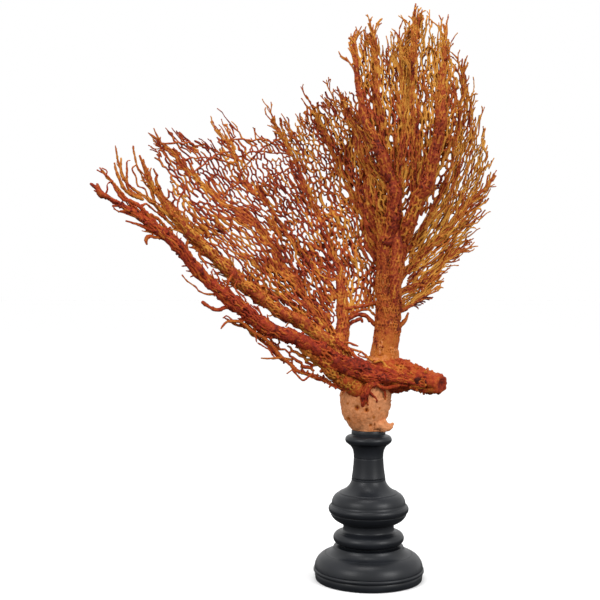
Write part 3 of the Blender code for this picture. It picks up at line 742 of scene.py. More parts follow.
middle_line = grown_line([(-31, 0, 229, 8.5), (-27, 7, 252, 6), (-28, 12, 284, 5), (-30, 15, 302, 3.4)], 3)
middle = Growth()
limb(middle, middle_line, 18, 0.54, 0.08, 0.1, 23)
bark(middle, middle_line, 0.54, 3, 7, 1.1, 24)
knobs(middle, middle_line, 24, 0.6, 1.2, 26)
twigs(middle, 0.6, 27,
      [(-27.7, 8, 246.8, 2.8), (-22.6, 8, 250.1, 2.4), (-18, 8, 254.8, 2), (-9, 8, 259, 1.9),
       (-7, 8, 255.8, 1.3)],
      [(-25.7, 6, 255.9, 2.4), (-19, 6, 260, 2), (-13.7, 6, 262.9, 2.1), (-4.6, 6, 262.9, 2.2),
       (1.4, 6, 257.4, 2.2), (6.5, 6, 252.8, 2.6)],
      [(-28, 8, 268, 2.6), (-18, 8, 270, 2), (-6, 7, 272, 2.2), (2, 6, 274, 2.2), (12, 6, 276, 2.6)],
      [(-24, 7, 258, 1.4), (-14, 7, 266, 1.6), (-2, 7, 268, 1.4), (6, 6, 262, 1.4)])
middle_branch = grow("middle_branch", middle, fan_finish)
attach(middle_branch, "root")
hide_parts("middle_limb")

# The front branch: the limb of dark red horn that sweeps forward and up to the left, with the
# ochre lobe and the low limb under it, its tines, and the nets along its lower edge. It is grown
# into the stub's roots, and loose twigs tie it to the second branch.


LACE_WAVE = 5.6
SHORTEST_WAY, SHORTEST_END = 1.7, 1.8
REDDEST = 0.86


def lace(growth, first, last, low, high, red, across=3.7, along=10, radius=1.0, seed=0, bow=0.0,
         ragged=0.09, loose=0.06, frayed=0.8, free=None, gaps=0.1, tips=0):
    """The net between two limbs: slit-like cells that measure across by along, set in the way it
    grows. Low and high are the shares of the two limbs' lengths where it starts and ends, and bow
    is how far its middle stands off the straight way between them. Ragged is how uneven its far
    edge is, loose the share of its strands that are broken out, and frayed the height above which
    cross strands go missing. Free is the side on which no limb holds it: "first", "last" or None.
    Gaps is the share of cells that are left out, which makes their neighbours larger, and tips the
    number of long twigs at the far edge."""
    rng = random.Random(seed)
    shares = np.linspace(0, 1, 81)
    left = at_share(first, low[0] + (high[0] - low[0]) * shares)[:, :3]
    right = at_share(last, low[1] + (high[1] - low[1]) * shares)[:, :3]
    widths = np.linalg.norm(right - left, axis=1)
    middle = (left + right) / 2
    length = np.linalg.norm(np.diff(middle, axis=0), axis=1).sum()
    facing = np.cross(right - left, np.gradient(middle, axis=0))
    facing /= np.linalg.norm(facing, axis=1)[:, None] + 1e-9
    if facing[:, 1].sum() > 0:
        facing = -facing

    def width_at(y):
        return float(np.interp(y / length, shares, widths))

    def edge_at(x):
        return length * (1 - ragged * (0.5 + 0.9 * noise.noise(Vector((x / 7, seed, 0.5)))
                                       + 0.6 * noise.noise(Vector((x / 2.5, seed, 3.5)))))

    def side_at(spot):
        """How far inside its nearer side a spot is. A free side is ragged."""
        within = width_at(spot[1]) / 2 - abs(spot[0])
        if free and (spot[0] < 0) == (free == "first"):
            within -= 2 + 3.5 * noise.noise(Vector((spot[1] / 3.5, seed, 8.5)))
        return within

    def inside(spot):
        return side_at(spot) >= 0 and 0 <= spot[1] <= edge_at(spot[0])

    def in_space(spot):
        v = min(max(spot[1] / length, 0), 1)
        width = max(width_at(spot[1]), 0.5)
        u = min(max(spot[0] / width + 0.5, 0), 1)
        ends = [np.array([np.interp(v, shares, column) for column in side.T]) for side in (left, right)]
        out = np.array([np.interp(v, shares, column) for column in facing.T])
        slack = math.sin(math.pi * u) * min(1, 3 * v + 0.1)
        wave = noise.noise(Vector((spot[0] / 22, spot[1] / 22, seed * 1.7)))
        off = slack * (bow + LACE_WAVE * wave) + rng.uniform(-0.6, 0.6)
        return ends[0] * (1 - u) + ends[1] * u + out * off, out

    seeds = []
    number = 0
    y = -along
    while y < length + along:
        count = int(width_at(y) / 2 / across) + 2
        for k in range(-count, count + 1):
            if rng.random() < gaps:
                continue
            x = (k + 0.5 * (number % 2) + rng.uniform(-0.52, 0.52)) * across
            sway = 3.5 * noise.noise(Vector((x / 18, y / 24, seed + 0.3)))
            seeds.append(((x + sway) / across, y / along + rng.uniform(-0.48, 0.48)))
        y += along * SIN_60
        number += 1
    corners, walls = cell_walls(seeds)
    flat = [(corner.x * across, corner.y * along) for corner in corners]
    held = [inside(spot) for spot in flat]
    plan, anchored, numbers, ways = [], [], {}, []

    def number_of(key, spot, anchor):
        if key not in numbers:
            numbers[key] = len(plan)
            plan.append(spot)
            anchored.append(anchor)
        return numbers[key]

    for a, b in walls:
        if not (held[a] or held[b]):
            continue
        run, rise = abs(flat[a][0] - flat[b][0]), abs(flat[a][1] - flat[b][1])
        crosswise = run > rise * 0.7
        height = (flat[a][1] + flat[b][1]) / 2 / length
        chance = loose
        if crosswise and height > frayed:
            chance = 0.25 + 0.7 * (height - frayed) / (1 - frayed)
        if rng.random() < chance:
            continue
        thick = radius * rng.uniform(0.8, 1.2) * (0.78 if crosswise else 1.0) * (1.25 - 0.4 * height)
        fused = noise.noise(Vector((flat[a][0] / 12, flat[a][1] / 18, seed + 0.7)))
        to_rib = width_at(flat[a][1]) / 2 - abs(flat[a][0])
        thick *= 1 + 1.1 * max(fused - 0.1, 0) + 0.5 * max(0, 1 - to_rib / 8)
        if held[a] and held[b]:
            ways.append((number_of(a, flat[a], False), number_of(b, flat[b], False), thick))
            continue
        near, far = (a, b) if held[a] else (b, a)
        safe, blocked = flat[near], flat[far]
        for _ in range(8):
            half = ((safe[0] + blocked[0]) / 2, (safe[1] + blocked[1]) / 2)
            if inside(half):
                safe = half
            else:
                blocked = half
        if math.dist(safe, flat[near]) > SHORTEST_END:
            held_side = free is None or (blocked[0] < 0) != (free == "first")
            anchor = held_side and (blocked[1] < 0 or side_at(blocked) < 0)
            ways.append((number_of(near, flat[near], False), number_of((a, b), safe, anchor), thick))

    owner = list(range(len(plan)))

    def root(i):
        while owner[i] != i:
            owner[i] = owner[owner[i]]
            i = owner[i]
        return i

    for i, j, _ in ways:
        if math.dist(plan[i], plan[j]) < SHORTEST_WAY:
            owner[root(i)] = root(j)
    merged = {}
    for i, j, thick in ways:
        i, j = root(i), root(j)
        if i != j:
            merged[min(i, j), max(i, j)] = thick
    hold = {root(i) for i in range(len(plan)) if anchored[i]}
    beside = {}
    for i, j in merged:
        beside.setdefault(i, []).append(j)
        beside.setdefault(j, []).append(i)
    reached, waiting = set(hold), list(hold)
    while waiting:
        for j in beside.get(waiting.pop(), ()):
            if j not in reached:
                reached.add(j)
                waiting.append(j)
    spots, facings, reds = [], [], []
    for spot in plan:
        point, out = in_space(spot)
        spots.append(point)
        facings.append(out)
        patch = noise.noise(Vector(point) / 26 + Vector((seed, 0, 0)))
        streak = noise.noise(Vector((spot[0] / 2.6, spot[1] / 30, seed + 5.5)))
        reds.append(min(red + 0.1 + 0.25 * patch + 0.75 * streak + rng.uniform(-0.1, 0.1), REDDEST))
    strands(growth, spots, facings, reds,
            [(i, j, thick) for (i, j), thick in merged.items() if i in reached], rng)
    edge = [i for i, spot in enumerate(plan) if i in reached and spot[1] > 0.86 * edge_at(spot[0])]
    for i in rng.sample(edge, min(tips, len(edge))):
        heading = Vector(spots[i] - in_space((plan[i][0] * 0.97, plan[i][1] - 9))[0])
        spray(growth, Vector(spots[i]), heading, Vector(facings[i]), rng.uniform(6, 15), 0.85,
              min(reds[i], 0.6), rng)


front_line = wander(grown_line([
    (7, -10, 203, 9), (-21, -26, 211, 8.5), (-65, -42, 237, 6.6), (-110, -56, 258, 6.2),
    (-156, -72, 297, 5.2), (-182, -81.5, 325, 4.8), (-200, -88, 343, 3.8), (-228, -97, 361, 2),
    (-257, -107, 382, 1.3),
], 3.5), 2.0, 1)
lobe_line = wander(grown_line([
    (-3, -14, 190, 9), (-14, -18, 191, 9), (-31, -25, 204, 7.5), (-52, -36, 222, 5.5), (-72, -44, 238, 4),
], 3), 2.0, 2)
tine_line = grown_line([
    (-196, -86, 338, 3), (-222, -92, 363, 2.4), (-236, -97, 380, 1.8), (-250, -101, 397, 1.2),
], 3)
low_line = wander(grown_line([
    (-14, -20, 191, 4), (-33, -24, 193, 3), (-67, -32, 208, 2.3), (-89, -38, 223, 2), (-111, -46, 243, 1.6),
    (-141, -58, 261, 1.1),
], 3), 4.0, 18, 12)
front = Growth()
limb(front, front_line, 24, 0.72, 0.24, 0.2, 31)
bark(front, front_line, 0.64, 2.8, 12, 1.1, 32, vary=0.25)
limb(front, lobe_line, 20, 0.42, 0.16, 0.12, 33)
bark(front, lobe_line, 0.3, 2.8, 5, 1.0, 34)
rib(front, tine_line, 0.5, 35)
rib(front, low_line, 0.5, 36)
knobs(front, low_line, 30, 0.5, 1.1, 136)
knobs(front, front_line, 80, 0.7, 1.5, 37)
knobs(front, lobe_line, 60, 0.3, 1.5, 38)
twigs(front, 0.55, 38,
      [(-201.3, -88.3, 345.5, 2.6), (-204.8, -89.4, 348.1, 3), (-214.3, -92.5, 354.2, 2.5),
       (-221.2, -94.8, 358.6, 2.7), (-225.5, -96.2, 358.9, 1.8), (-232.3, -98.4, 358.2, 0.8)],
      [(-201.3, -88.3, 340.9, 1.8), (-211.7, -91.7, 344.3, 1.6), (-219.5, -94.2, 347.3, 1.2),
       (-227.2, -96.7, 349.4, 0.9)],
      [(-197.8, -87, 334.6, 1.7), (-203, -88.8, 335.4, 1.5), (-207.4, -90.2, 335.8, 1.7),
       (-210, -91.1, 332.5, 1.9), (-209.1, -90.8, 328.5, 0.8)],
      [(-126.3, -61.6, 269.6, 2.2), (-132.2, -63.7, 271.4, 2), (-140.4, -66.5, 271, 1.8),
       (-146.8, -68.7, 268.9, 2), (-154.1, -71.2, 271.5, 1.8), (-160.5, -73.5, 276.3, 1.4)],
      [(-243.3, -102.1, 370.5, 2.4), (-249.2, -104.1, 373.9, 3), (-250.8, -104.7, 378.3, 1.9),
       (-251.3, -104.9, 381.8, 1.2)],
      [(-201.6, -86.3, 347.4, 2.7), (-209.4, -88.8, 356.4, 2.2), (-217.2, -91.3, 364.3, 1.9),
       (-225.8, -94.2, 368.6, 1.7), (-229.2, -95.3, 368.5, 1.5), (-235.2, -97.3, 376.4, 1.4),
       (-240.3, -99, 386.1, 1), (-246.2, -101, 391.3, 0.8), (-252.1, -103, 394.6, 0.7)],
      [(-244.5, -100.4, 389.5, 0.8), (-243.7, -100.1, 394.1, 0.7), (-247.9, -101.6, 396.6, 0.7)],
      [(-245.2, -101.7, 372.3, 0.9), (-243.1, -101, 376.9, 0.8), (-243.1, -101, 382.3, 0.7),
       (-238.4, -99.4, 385.2, 0.8)])
twigs(front, 0.42, 43,
      [(-192.7, -56, 346.5, 1.2), (-187.7, -60, 335.4, 1.2), (-183.3, -64, 326.3, 1.2),
       (-178.3, -70, 319, 1.3), (-176, -79, 316, 1.5)],
      [(-174.5, -50, 340.7, 1.6), (-177.3, -55, 327.1, 1.2), (-171.5, -60, 317.5, 1.3),
       (-164.3, -66, 312.1, 1.2), (-158.2, -71, 304.8, 1.2), (-153, -71, 297, 1.5)],
      [(-164.4, -45, 331, 1.5), (-165.9, -50, 320.8, 1.1), (-160.6, -56, 313.9, 1.1),
       (-156.3, -62, 308, 0.8)],
      [(-206.5, -88, 356, 1.8), (-199.3, -80, 351.6, 1.3), (-193.5, -70, 342, 1.2),
       (-187.4, -61, 335.2, 1.1)],
      [(-180, -30, 388, 1.2), (-186.9, -38, 374.2, 1), (-186.4, -46, 363.9, 1.1), (-184.6, -53, 355.7, 1.3),
       (-181, -54, 349, 1.4)],
      [(-216, -91, 362, 1.4), (-211, -84, 366, 1.2), (-206, -76, 362, 1.1), (-201, -68, 358, 1.1),
       (-196, -62, 355, 1.4)],
      [(-141, -66, 283, 1.6), (-138, -62, 292, 1.3), (-136, -54, 299, 1.2), (-134, -42, 303, 1.6)])
twigs(front, 0.46, 39,
      [(-150, -69.8, 283.6, 1.2), (-156.3, -72, 283.6, 1), (-163.5, -74.6, 286.3, 0.8),
       (-167, -75.8, 290.4, 0.8), (-174.1, -78.4, 295.5, 0.8), (-178.6, -80, 301, 0.7)],
      [(-70, -43.5, 209.1, 1.8), (-74.8, -45, 212.3, 1.7), (-83.9, -47.8, 221.1, 1.8),
       (-90.9, -50, 227.1, 1.7), (-96.5, -51.8, 234.9, 1.8), (-105, -54.5, 242.5, 1.7),
       (-113.4, -57.3, 246.9, 1.8), (-119, -59.2, 251.9, 1.5), (-124.8, -61.1, 257.1, 1.4),
       (-132.2, -63.7, 258, 1.5), (-138.7, -65.9, 257.2, 1.2), (-143.7, -67.6, 251.3, 0.8)],
      [(-130, -62.9, 257.4, 1), (-133, -63.9, 258.8, 0.9), (-137.9, -65.6, 263.1, 0.8),
       (-141.9, -67, 261.3, 0.7)],
      [(-87.1, -48.9, 222.8, 1.4), (-91.6, -50.3, 222.9, 1.3), (-99.1, -52.6, 222.6, 1),
       (-106.6, -55, 223.2, 0.8)],
      [(-113.4, -57.3, 246.9, 1.2), (-111.5, -56.6, 242.2, 1), (-111, -56.5, 238.4, 0.7)],
      [(-93.7, -50.9, 223, 1), (-95.7, -51.6, 225.5, 0.9), (-99.1, -52.6, 230.6, 0.8),
       (-105, -54.5, 234.5, 0.8), (-109.9, -56.1, 237.5, 0.7)],
      [(-73.8, -44.7, 213, 1.2), (-77.2, -45.7, 211.6, 1), (-82.4, -47.4, 207.8, 0.7)],
      [(-76.7, -45.6, 211.2, 1.2), (-71.9, -44.1, 205.4, 1), (-67.1, -42.6, 201, 1), (-62.3, -41, 204.2, 1),
       (-58.5, -39.6, 206.9, 1)],
      [(-130, -62.9, 280.8, 1.2), (-135.5, -64.8, 286.4, 1), (-140.4, -66.5, 292.9, 0.8),
       (-145.2, -68.1, 295.4, 0.8), (-146, -68.4, 299.6, 0.8), (-150.9, -70.1, 307, 0.7)],
      [(-120.8, -59.8, 278, 1), (-124, -60.9, 282.2, 0.9), (-130, -62.9, 287.4, 0.8),
       (-131.3, -63.4, 291.1, 0.8), (-129.1, -62.6, 295.8, 0.8)],
      [(-111.5, -56.6, 248.8, 1.1), (-117.1, -58.5, 258.2, 1), (-123.5, -60.7, 258.7, 1),
       (-130, -62.9, 257.4, 0.8)])
shoots(front, front_line, 16, 12, 0.5, 42, 0.25, 0.9)
shoots(front, front_line, 46, 4.5, 0.6, 142, 0.2, 0.98, (-1.3, 1.3))
shoots(front, front_line, 16, 15, 0.5, 143, 0.45, 0.85, (-0.35, -0.1))
lace(front, lobe_line, front_line, (0.3, 0.1), (0.9, 0.28), 0.3, seed=39, loose=0.15)
lace(front, low_line, front_line, (0.3, 0.2), (0.98, 0.52), 0.25, 5, 10, seed=40, loose=0.3)
front_branch = grow("front_branch", front, red_bark)
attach(front_branch, "root")
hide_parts("front_limb")

# The second branch: the limb of ochre horn behind the front one, grown from the left fork and
# forked at its end. The net above it, of fused strands, runs on to the third limb.
second_line = wander(grown_line([
    (-31, -2, 230, 7.5), (-65, -14, 252, 6.4), (-112, -28, 282, 5.4), (-151, -42, 319, 4.8),
    (-178, -54, 346, 3.4), (-204, -66, 379, 1.9), (-219, -72, 412, 0.9),
], 3.5), 3.0, 3)
second_tine_line = wander(grown_line([
    (-176, -52, 343, 2.6), (-200, -63, 364, 2), (-226, -72, 381, 1.6), (-236, -77, 397, 1.3),
    (-240, -80, 420, 0.8),
], 3), 2.0, 17)
second_fringe_line = grown_line([
    (-60, -12, 262, 1), (-110, -26, 296, 1), (-150, -40, 338, 1), (-176, -54, 372, 1), (-196, -66, 410, 1),
], 3)
third_line = wander(grown_line([
    (-30, 1, 236, 5.5), (-70, 2, 288, 3.4), (-112, -2, 350, 2.4), (-161, -12, 386, 2.1),
    (-191, -22, 419, 1.7), (-217, -30, 440, 1.1),
], 3), 4.0, 4)
second = Growth()
limb(second, second_line, 22, 0.56, 0.24, 0.18, 51)
bark(second, second_line, 0.45, 2.8, 6, 1.0, 52)
rib(second, second_tine_line, 0.35, 53)
knobs(second, second_line, 60, 0.4, 1.4, 54)
twigs(second, 0.4, 57,
      [(-177.8, -54, 349.9, 3), (-184.3, -55.6, 359.2, 2.5), (-190.7, -57.2, 366.6, 2.3),
       (-198, -59.1, 374, 1.9), (-204.2, -61.3, 383.1, 1.4)],
      [(-177, -53.5, 341, 1.8), (-185, -55, 344.5, 1.7), (-192, -57, 350, 1.5), (-198, -59.1, 356.1, 1.5),
       (-205.1, -61.7, 366.2, 1.5), (-207.7, -63, 374.5, 1.7), (-209.5, -63.9, 382.8, 2),
       (-213, -65.6, 392.9, 1.6), (-216.4, -67.3, 403, 1), (-218.2, -68.1, 409.4, 0.7)],
      [(-206.9, -62.6, 378.3, 1.3), (-214.7, -66.4, 387.2, 1.1), (-218.2, -68.1, 395.4, 1),
       (-221.6, -69.9, 402.6, 1), (-224.2, -71.1, 415.5, 1), (-225, -71.6, 421, 0.7)],
      [(-206.9, -62.6, 369.9, 1), (-212.1, -65.1, 374.3, 0.9), (-214.7, -66.4, 381.6, 0.8),
       (-220.8, -69.4, 384.1, 0.8), (-222.5, -70.3, 392.4, 0.8), (-225.9, -72, 399.6, 0.8),
       (-222.5, -70.3, 403.5, 0.7)],
      [(-218, -70.2, 373, 1.5), (-225, -72.2, 377, 1.5), (-229.3, -73.8, 382, 1.4),
       (-230.2, -74.2, 389.1, 1.2), (-230.2, -74.2, 396.5, 1), (-230.2, -74.2, 405.8, 0.9),
       (-227.6, -72.9, 407.3, 0.7)],
      [(-216, -69.8, 371.5, 1.7), (-224, -72, 374.5, 1.7), (-229.3, -73.8, 377.5, 1.7),
       (-233.5, -76, 382.4, 1.5), (-238.6, -78.7, 395, 1.4), (-240.7, -79.8, 404.1, 0.8)],
      [(-233.5, -76, 388.9, 1.4), (-235.2, -76.9, 398, 1.2), (-235.2, -76.9, 409.1, 0.8)])
shoots(second, second_line, 22, 14, 0.35, 58, 0.35, 0.9)
shoots(second, second_line, 40, 5, 0.4, 158, 0.2, 0.98, (-1.3, 1.3))
shoots(second, second_line, 24, 17, 0.5, 159, 0.42, 0.8, (0.05, 0.3))
lace(second, second_line, third_line, (0.08, 0.06), (0.73, 0.62), 0.46, 3.7, 10, 1.05, seed=55, loose=0.04)
lace(second, second_line, third_line, (0.1, 0.08), (0.5, 0.42), 0.48, 4, 11, 1.05, seed=59, bow=5)
lace(second, second_line, second_fringe_line, (0.6, 0.6), (0.95, 1), 0.35, 5, 14, 0.9, seed=56, loose=0.4,
     free="last")
second_branch = grow("second_branch", second, fan_finish)
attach(second_branch, "root")
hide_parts("second_limb")

# The left net: the wide, thin net of fused horn strands behind the second branch. It is held by
# the third limb and two ribs, and a few loose strands arch across it near its upper edge.
left_rib_1 = wander(grown_line([
    (-29, 6, 252, 4), (-32, 10, 278, 3.2), (-54, 16, 310, 2.6), (-87, 22, 350, 2), (-121, 22, 396, 1.6),
    (-156, 16, 455, 1),
], 3), 5.0, 7)
left_rib_2 = wander(grown_line([
    (-28, 7, 254, 4), (-28, 12, 286, 3.4), (-36, 22, 330, 2.6), (-62, 30, 391, 1.9), (-85, 30, 440, 1.5),
    (-99, 28, 464, 1),
], 3), 5.0, 8)
left_edge_line = grown_line([
    (-163, -36, 336, 1), (-178, -36, 353, 1), (-185, -34, 372, 1), (-196, -31, 388, 1), (-208, -30, 406, 1),
    (-216, -31, 424, 1),
], 3)
left = Growth()
for number, line in enumerate((third_line, left_rib_1, left_rib_2)):
    rib(left, line, 0.5, 61 + number)
    shoots(left, line, 10, 12, 0.4, 66 + number, 0.7, 1.0)
lace(left, left_edge_line, third_line, (0, 0.52),
     (1, 0.97), 0.54, 4.2, 9, seed=66, loose=0.12, free="first", gaps=0.15, tips=2)
lace(left, third_line, left_rib_1, (0.08, 0.12), (1, 1), 0.59, 4, 9, 0.95, seed=64, loose=0.12, gaps=0.16,
     tips=10)
lace(left, left_rib_1, left_rib_2, (0.2, 0.2), (1, 1), 0.59, 4, 9, 0.95, seed=65, loose=0.12, gaps=0.16,
     tips=10)
lace(left, third_line, left_rib_1, (0.1, 0.14),
     (0.6, 0.55), 0.6, 4.6, 12, seed=67, bow=6, loose=0.15, gaps=0.2)
lace(left, left_rib_1, left_rib_2, (0.22, 0.22),
     (0.75, 0.8), 0.6, 4.6, 12, seed=68, bow=6, loose=0.15, gaps=0.2)
lace(left, third_line, middle_line, (0.03, 0.2), (0.2, 0.8), 0.8, 4, 7, 0.75, seed=69, loose=0.25)
for number, (one, other, low, high, lift) in enumerate((
    (third_line, left_rib_1, 0.86, 0.8, 5), (third_line, left_rib_1, 0.8, 0.87, 4),
    (third_line, left_rib_1, 0.94, 0.83, 6), (third_line, left_rib_1, 0.66, 0.74, 3),
    (left_rib_1, left_rib_2, 0.84, 0.8, 5), (left_rib_1, left_rib_2, 0.78, 0.9, 4),
    (left_rib_1, left_rib_2, 0.92, 0.84, 5), (left_rib_1, left_rib_2, 0.68, 0.76, 3),
)):
    start, end = at_share(one, low), at_share(other, high)
    across = np.linspace(0, 1, 26)[:, None]
    rows = start * (1 - across) + end * across + np.sin(math.pi * across) * np.array((0, -2, lift, 0))
    rows[:, 3] = 0.95
    limb(left, wander(rows, 3, 70 + number, 9), 6, 0.6, 0.3, 0.1, 70 + number)
left_net = grow("left_net", left, fan_finish)
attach(left_net, "root")
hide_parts("left_fan")

# The crown's left half: three limbs of red and ochre horn that rise from the top of the trunk, with
# two layers of close net grown between them, and the red roots down the front of the trunk.
crown_left_line = wander(grown_line([
    (17, 1, 327, 8), (22, -9, 356, 7), (22, -18, 385, 6.2), (13, -25, 412, 5), (2, -29, 436, 4.2),
    (-11, -29, 470, 3), (-19, -28, 532, 1.2),
], 3), 3.0, 5)
crown_left_rib = wander(grown_line([
    (22, -11, 372, 4), (13, -26, 424, 3), (6, -32, 472, 2), (0, -36, 536, 1.1),
], 3), 4.0, 14)
crown_mid_rib = wander(grown_line([
    (24, -12, 378, 4), (29, -28, 424, 2.8), (29, -36, 471, 2), (26, -42, 522, 1.1),
], 3), 4.0, 15)
crown_right_line = wander(grown_line([
    (28, 1, 327, 8), (37, -13, 352, 7), (43, -22, 374, 6.4), (56, -32, 397, 5.4), (62, -40, 432, 4.6),
    (65, -44, 472, 3.4), (68, -46, 532, 1.2),
], 3), 3.0, 6)
crown_right_rib = wander(grown_line([
    (43, -15, 372, 4), (40, -34, 442, 2.8), (38, -42, 489, 2), (40, -49, 560, 1.2),
], 3), 4.0, 16)
crown_edge = grown_line([
    (48, -20, 372, 1), (72, -30, 412, 1), (82, -40, 452, 1), (82, -44, 490, 1), (76, -46, 534, 1),
], 3)


def pale_tips(growth):
    """Makes the crown paler towards its top."""
    for number, point in enumerate(growth.points):
        growth.redness_and_shade[number] -= 0.14 * min(max((point.z - CROWN_MIDDLE) / CROWN_FADE, 0), 1)


CROWN_MIDDLE, CROWN_FADE = 430, 90
crown_1 = Growth()
limb(crown_1, crown_left_line, 20, 0.76, 0.2, 0.16, 71)
bark(crown_1, crown_left_line, 0.68, 3.2, 9, 1.1, 72, 0.04, 0.9, 0.5, vary=0.2)
for number, stations in enumerate((
    [(20, 3, 286, 4), (19, 1, 304, 6.5), (18, 0.5, 327, 7.6), (21, -6, 350, 6.8)],
    [(23, 2, 296, 5), (26, 1, 312, 7), (29, 0, 330, 7.4), (39, -10, 356, 6.6)],
    [(23, -5, 266, 1.6), (23.5, -7, 280, 3.4), (24, -8, 296, 4.6), (25, -9, 314, 5), (26.5, -9, 335, 5),
     (27, -6, 354, 4.6)],
)):
    root_line = grown_line(stations, 3)
    limb(crown_1, root_line, 16, 0.66, 0.2, 0.12, 171 + number)
    bark(crown_1, root_line, 0.6, 3, 7, 1.0, 174 + number, vary=0.2)
twigs(crown_1, 0.4, 177,
      [(2.7, -17, 216.6, 1.2), (8.4, -17.5, 218.4, 1.2), (11.5, -18, 217.6, 1.2), (14.8, -19, 212.8, 1.2),
       (26.5, -23, 209, 1.3), (30.4, -25, 207.3, 0.9)])
rib(crown_1, crown_left_rib, 0.55, 73)
rib(crown_1, crown_mid_rib, 0.55, 74)
knobs(crown_1, crown_left_line, 36, 0.6, 1.4, 70)
for number, line in enumerate((crown_left_line, crown_left_rib, crown_mid_rib)):
    shoots(crown_1, line, 14, 16, 0.45, 170 + number, 0.6, 1.0)
for number, bow in enumerate((-6, 0)):
    lace(crown_1, crown_left_line, crown_left_rib, (0.36, 0.16),
         (1, 1), 0.42, 3.3, 12, 0.85, seed=75 + number,
         bow=bow, frayed=0.72, ragged=0.13, tips=6)
    lace(crown_1, crown_left_rib, crown_mid_rib, (0.14, 0.14),
         (1, 1), 0.36, 3.3, 12, 0.85, seed=77 + number,
         bow=bow, frayed=0.72, ragged=0.13, tips=6)
pale_tips(crown_1)
left_crown = grow("left_crown", crown_1, fan_finish)
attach(left_crown, "root")
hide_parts("crown_left")

# The crown's right half: two limbs of red and ochre horn that rise from the top of the trunk, with
# two layers of close net between them and out to a loose edge.
crown_2 = Growth()
limb(crown_2, crown_right_line, 20, 0.66, 0.2, 0.16, 81)
bark(crown_2, crown_right_line, 0.61, 3.2, 9, 1.1, 82, 0.04, 0.9, 0.5, vary=0.2)
rib(crown_2, crown_right_rib, 0.55, 83)
knobs(crown_2, crown_right_line, 36, 0.6, 1.4, 80)
for number, line in enumerate((crown_right_line, crown_right_rib)):
    shoots(crown_2, line, 16, 16, 0.4, 180 + number, 0.6, 1.0)
for number, bow in enumerate((-6, 0)):
    lace(crown_2, crown_mid_rib, crown_right_rib, (0.08, 0.1), (1, 1), 0.3, 3.3, 12, 0.85, seed=84 + number,
         bow=bow, frayed=0.72, ragged=0.13, tips=6)
    lace(crown_2, crown_right_rib, crown_right_line, (0.1, 0.36),
         (1, 1), 0.23, 3.3, 12, 0.85, seed=86 + number,
         bow=bow, frayed=0.72, ragged=0.13, tips=6)
    lace(crown_2, crown_right_line, crown_edge, (0.3, 0.1), (1, 1), 0.18, 3.3, 10, 0.85, seed=88 + number,
         bow=bow, free="last", frayed=0.72, ragged=0.13, tips=6)
pale_tips(crown_2)
right_crown = grow("right_crown", crown_2, fan_finish)
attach(right_crown, "root")
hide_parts("crown_right")

# The middle net: the close net of fused horn strands between the left net and the crown, in two
# layers, held by two ribs that rise from the trunk behind it.
middle_rib_1 = wander(grown_line([
    (16, 4, 262, 4), (14, 8, 300, 3.4), (-7, 20, 365, 2.4), (-31, 28, 417, 1.8), (-64, 30, 489, 1),
], 3), 5.0, 9)
middle_rib_2 = wander(grown_line([
    (19, 6, 318, 4), (1, 12, 384, 2.4), (-13, 18, 436, 1.8), (-32, 20, 496, 1),
], 3), 5.0, 10)
middle_lace = Growth()
for number, line in enumerate((middle_rib_1, middle_rib_2)):
    rib(middle_lace, line, 0.5, 91 + number)
    shoots(middle_lace, line, 12, 12, 0.45, 96 + number, 0.7, 1.0)
for number, bow in enumerate((-2, 5)):
    lace(middle_lace, left_rib_2, middle_rib_1, (0.04, 0.04),
         (1, 1), 0.45, 4.2, 9, 1.0, seed=93 + number, bow=bow,
         gaps=0.15, tips=5)
    lace(middle_lace, middle_rib_1, middle_rib_2, (0.14, 0.14),
         (1, 1), 0.45, 4, 9, 1.0, seed=195 + number, bow=bow,
         gaps=0.15, tips=5)
    lace(middle_lace, middle_rib_2, crown_left_line, (0.12, 0.12), (0.94, 0.62), 0.4, 4, 9, 1.05,
         seed=197 + number, bow=bow)
middle_net = grow("middle_net", middle_lace, fan_finish)
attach(middle_net, "root")
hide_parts("middle_fan")

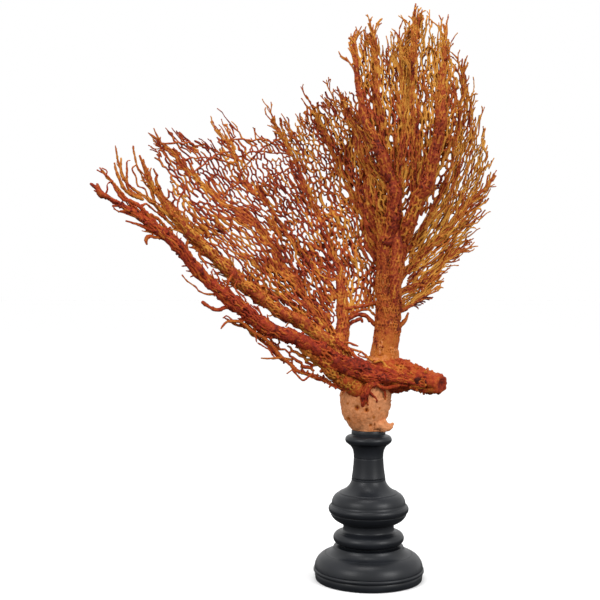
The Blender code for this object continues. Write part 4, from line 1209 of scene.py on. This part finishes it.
# The right net: four ribs of ochre horn that fan out to the right of the trunk, with long-celled
# nets grown between them in two layers, and dark, curled twigs along the lowest.
right_rib_1 = wander(grown_line([
    (27, 6, 308, 4.2), (53, -2, 353, 2.8), (76, -6, 397, 2.2), (88, -10, 456, 1.7), (90, -14, 516, 1.1),
], 3), 3.0, 11)
right_rib_2 = wander(grown_line([
    (26, 6, 296, 4.2), (67, 8, 338, 2.8), (94, 12, 368, 2.2), (117, 16, 390, 1.7), (130, 18, 410, 1.1),
], 3), 3.0, 12)
right_rib_3 = wander(grown_line([
    (24, 7, 282, 4.2), (60, 14, 300, 2.5), (80, 20, 320, 2), (99, 24, 331, 1.1),
], 3), 3.0, 13)
right_rib_4 = grown_line([(22, 6, 264, 4.2), (40, 10, 272, 2.4), (62, 14, 288, 1.2)], 3)
right = Growth()
for number, line in enumerate((right_rib_1, right_rib_2, right_rib_3, right_rib_4)):
    rib(right, line, 0.5, 101 + number)
    shoots(right, line, 12, 12, 0.35, 111 + number, 0.5, 1.0)
shoots(right, right_rib_4, 16, 9, 0.95, 191, 0.4, 1.0, (-0.9, 0.6))
for number, bow in enumerate((-3, 3)):
    lace(right, right_rib_1, right_rib_2, (0.12, 0.12),
         (1, 1), 0.2, 4.8, 12, 0.8, seed=105 + number, bow=bow, gaps=0.17, tips=5)
    lace(right, right_rib_2, right_rib_3, (0.14, 0.14),
         (1, 1), 0.22, 5.2, 14, 0.85, seed=107 + number, bow=bow, gaps=0.22, tips=5)
    lace(right, right_rib_3, right_rib_4, (0.14, 0.14),
         (1, 1), 0.25, 5.2, 13, 0.85, seed=109 + number, bow=bow, gaps=0.22, tips=4)
right_net = grow("right_net", right, fan_finish)
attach(right_net, "root")
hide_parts("right_fan")

# The back net: a second sheet of fused horn strands behind the crown, held by two ribs of its own
# that rise from the back of the trunk, and grown into the nets beside it.
back_rib_1 = grown_line([(17, 11, 324, 4), (13, 18, 400, 2.6), (8, 14, 460, 1.9), (2, 8, 524, 1)], 3)
back_rib_2 = grown_line([(25, 10, 324, 4), (31, 16, 400, 2.6), (34, 10, 460, 1.9), (33, 2, 532, 1)], 3)
back = Growth()
rib(back, back_rib_1, 0.6, 111)
rib(back, back_rib_2, 0.6, 112)
lace(back, middle_rib_2, back_rib_1, (0.2, 0.12), (0.96, 1), 0.55, 4.6, 9, seed=113)
lace(back, back_rib_1, back_rib_2, (0.1, 0.1), (1, 1), 0.55, 4.6, 9, seed=114)
lace(back, back_rib_2, right_rib_1, (0.14, 0.3), (1, 1), 0.45, 4.6, 9, seed=115)
back_net = grow("back_net", back, fan_finish)
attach(back_net, "root")
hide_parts("back_fan")
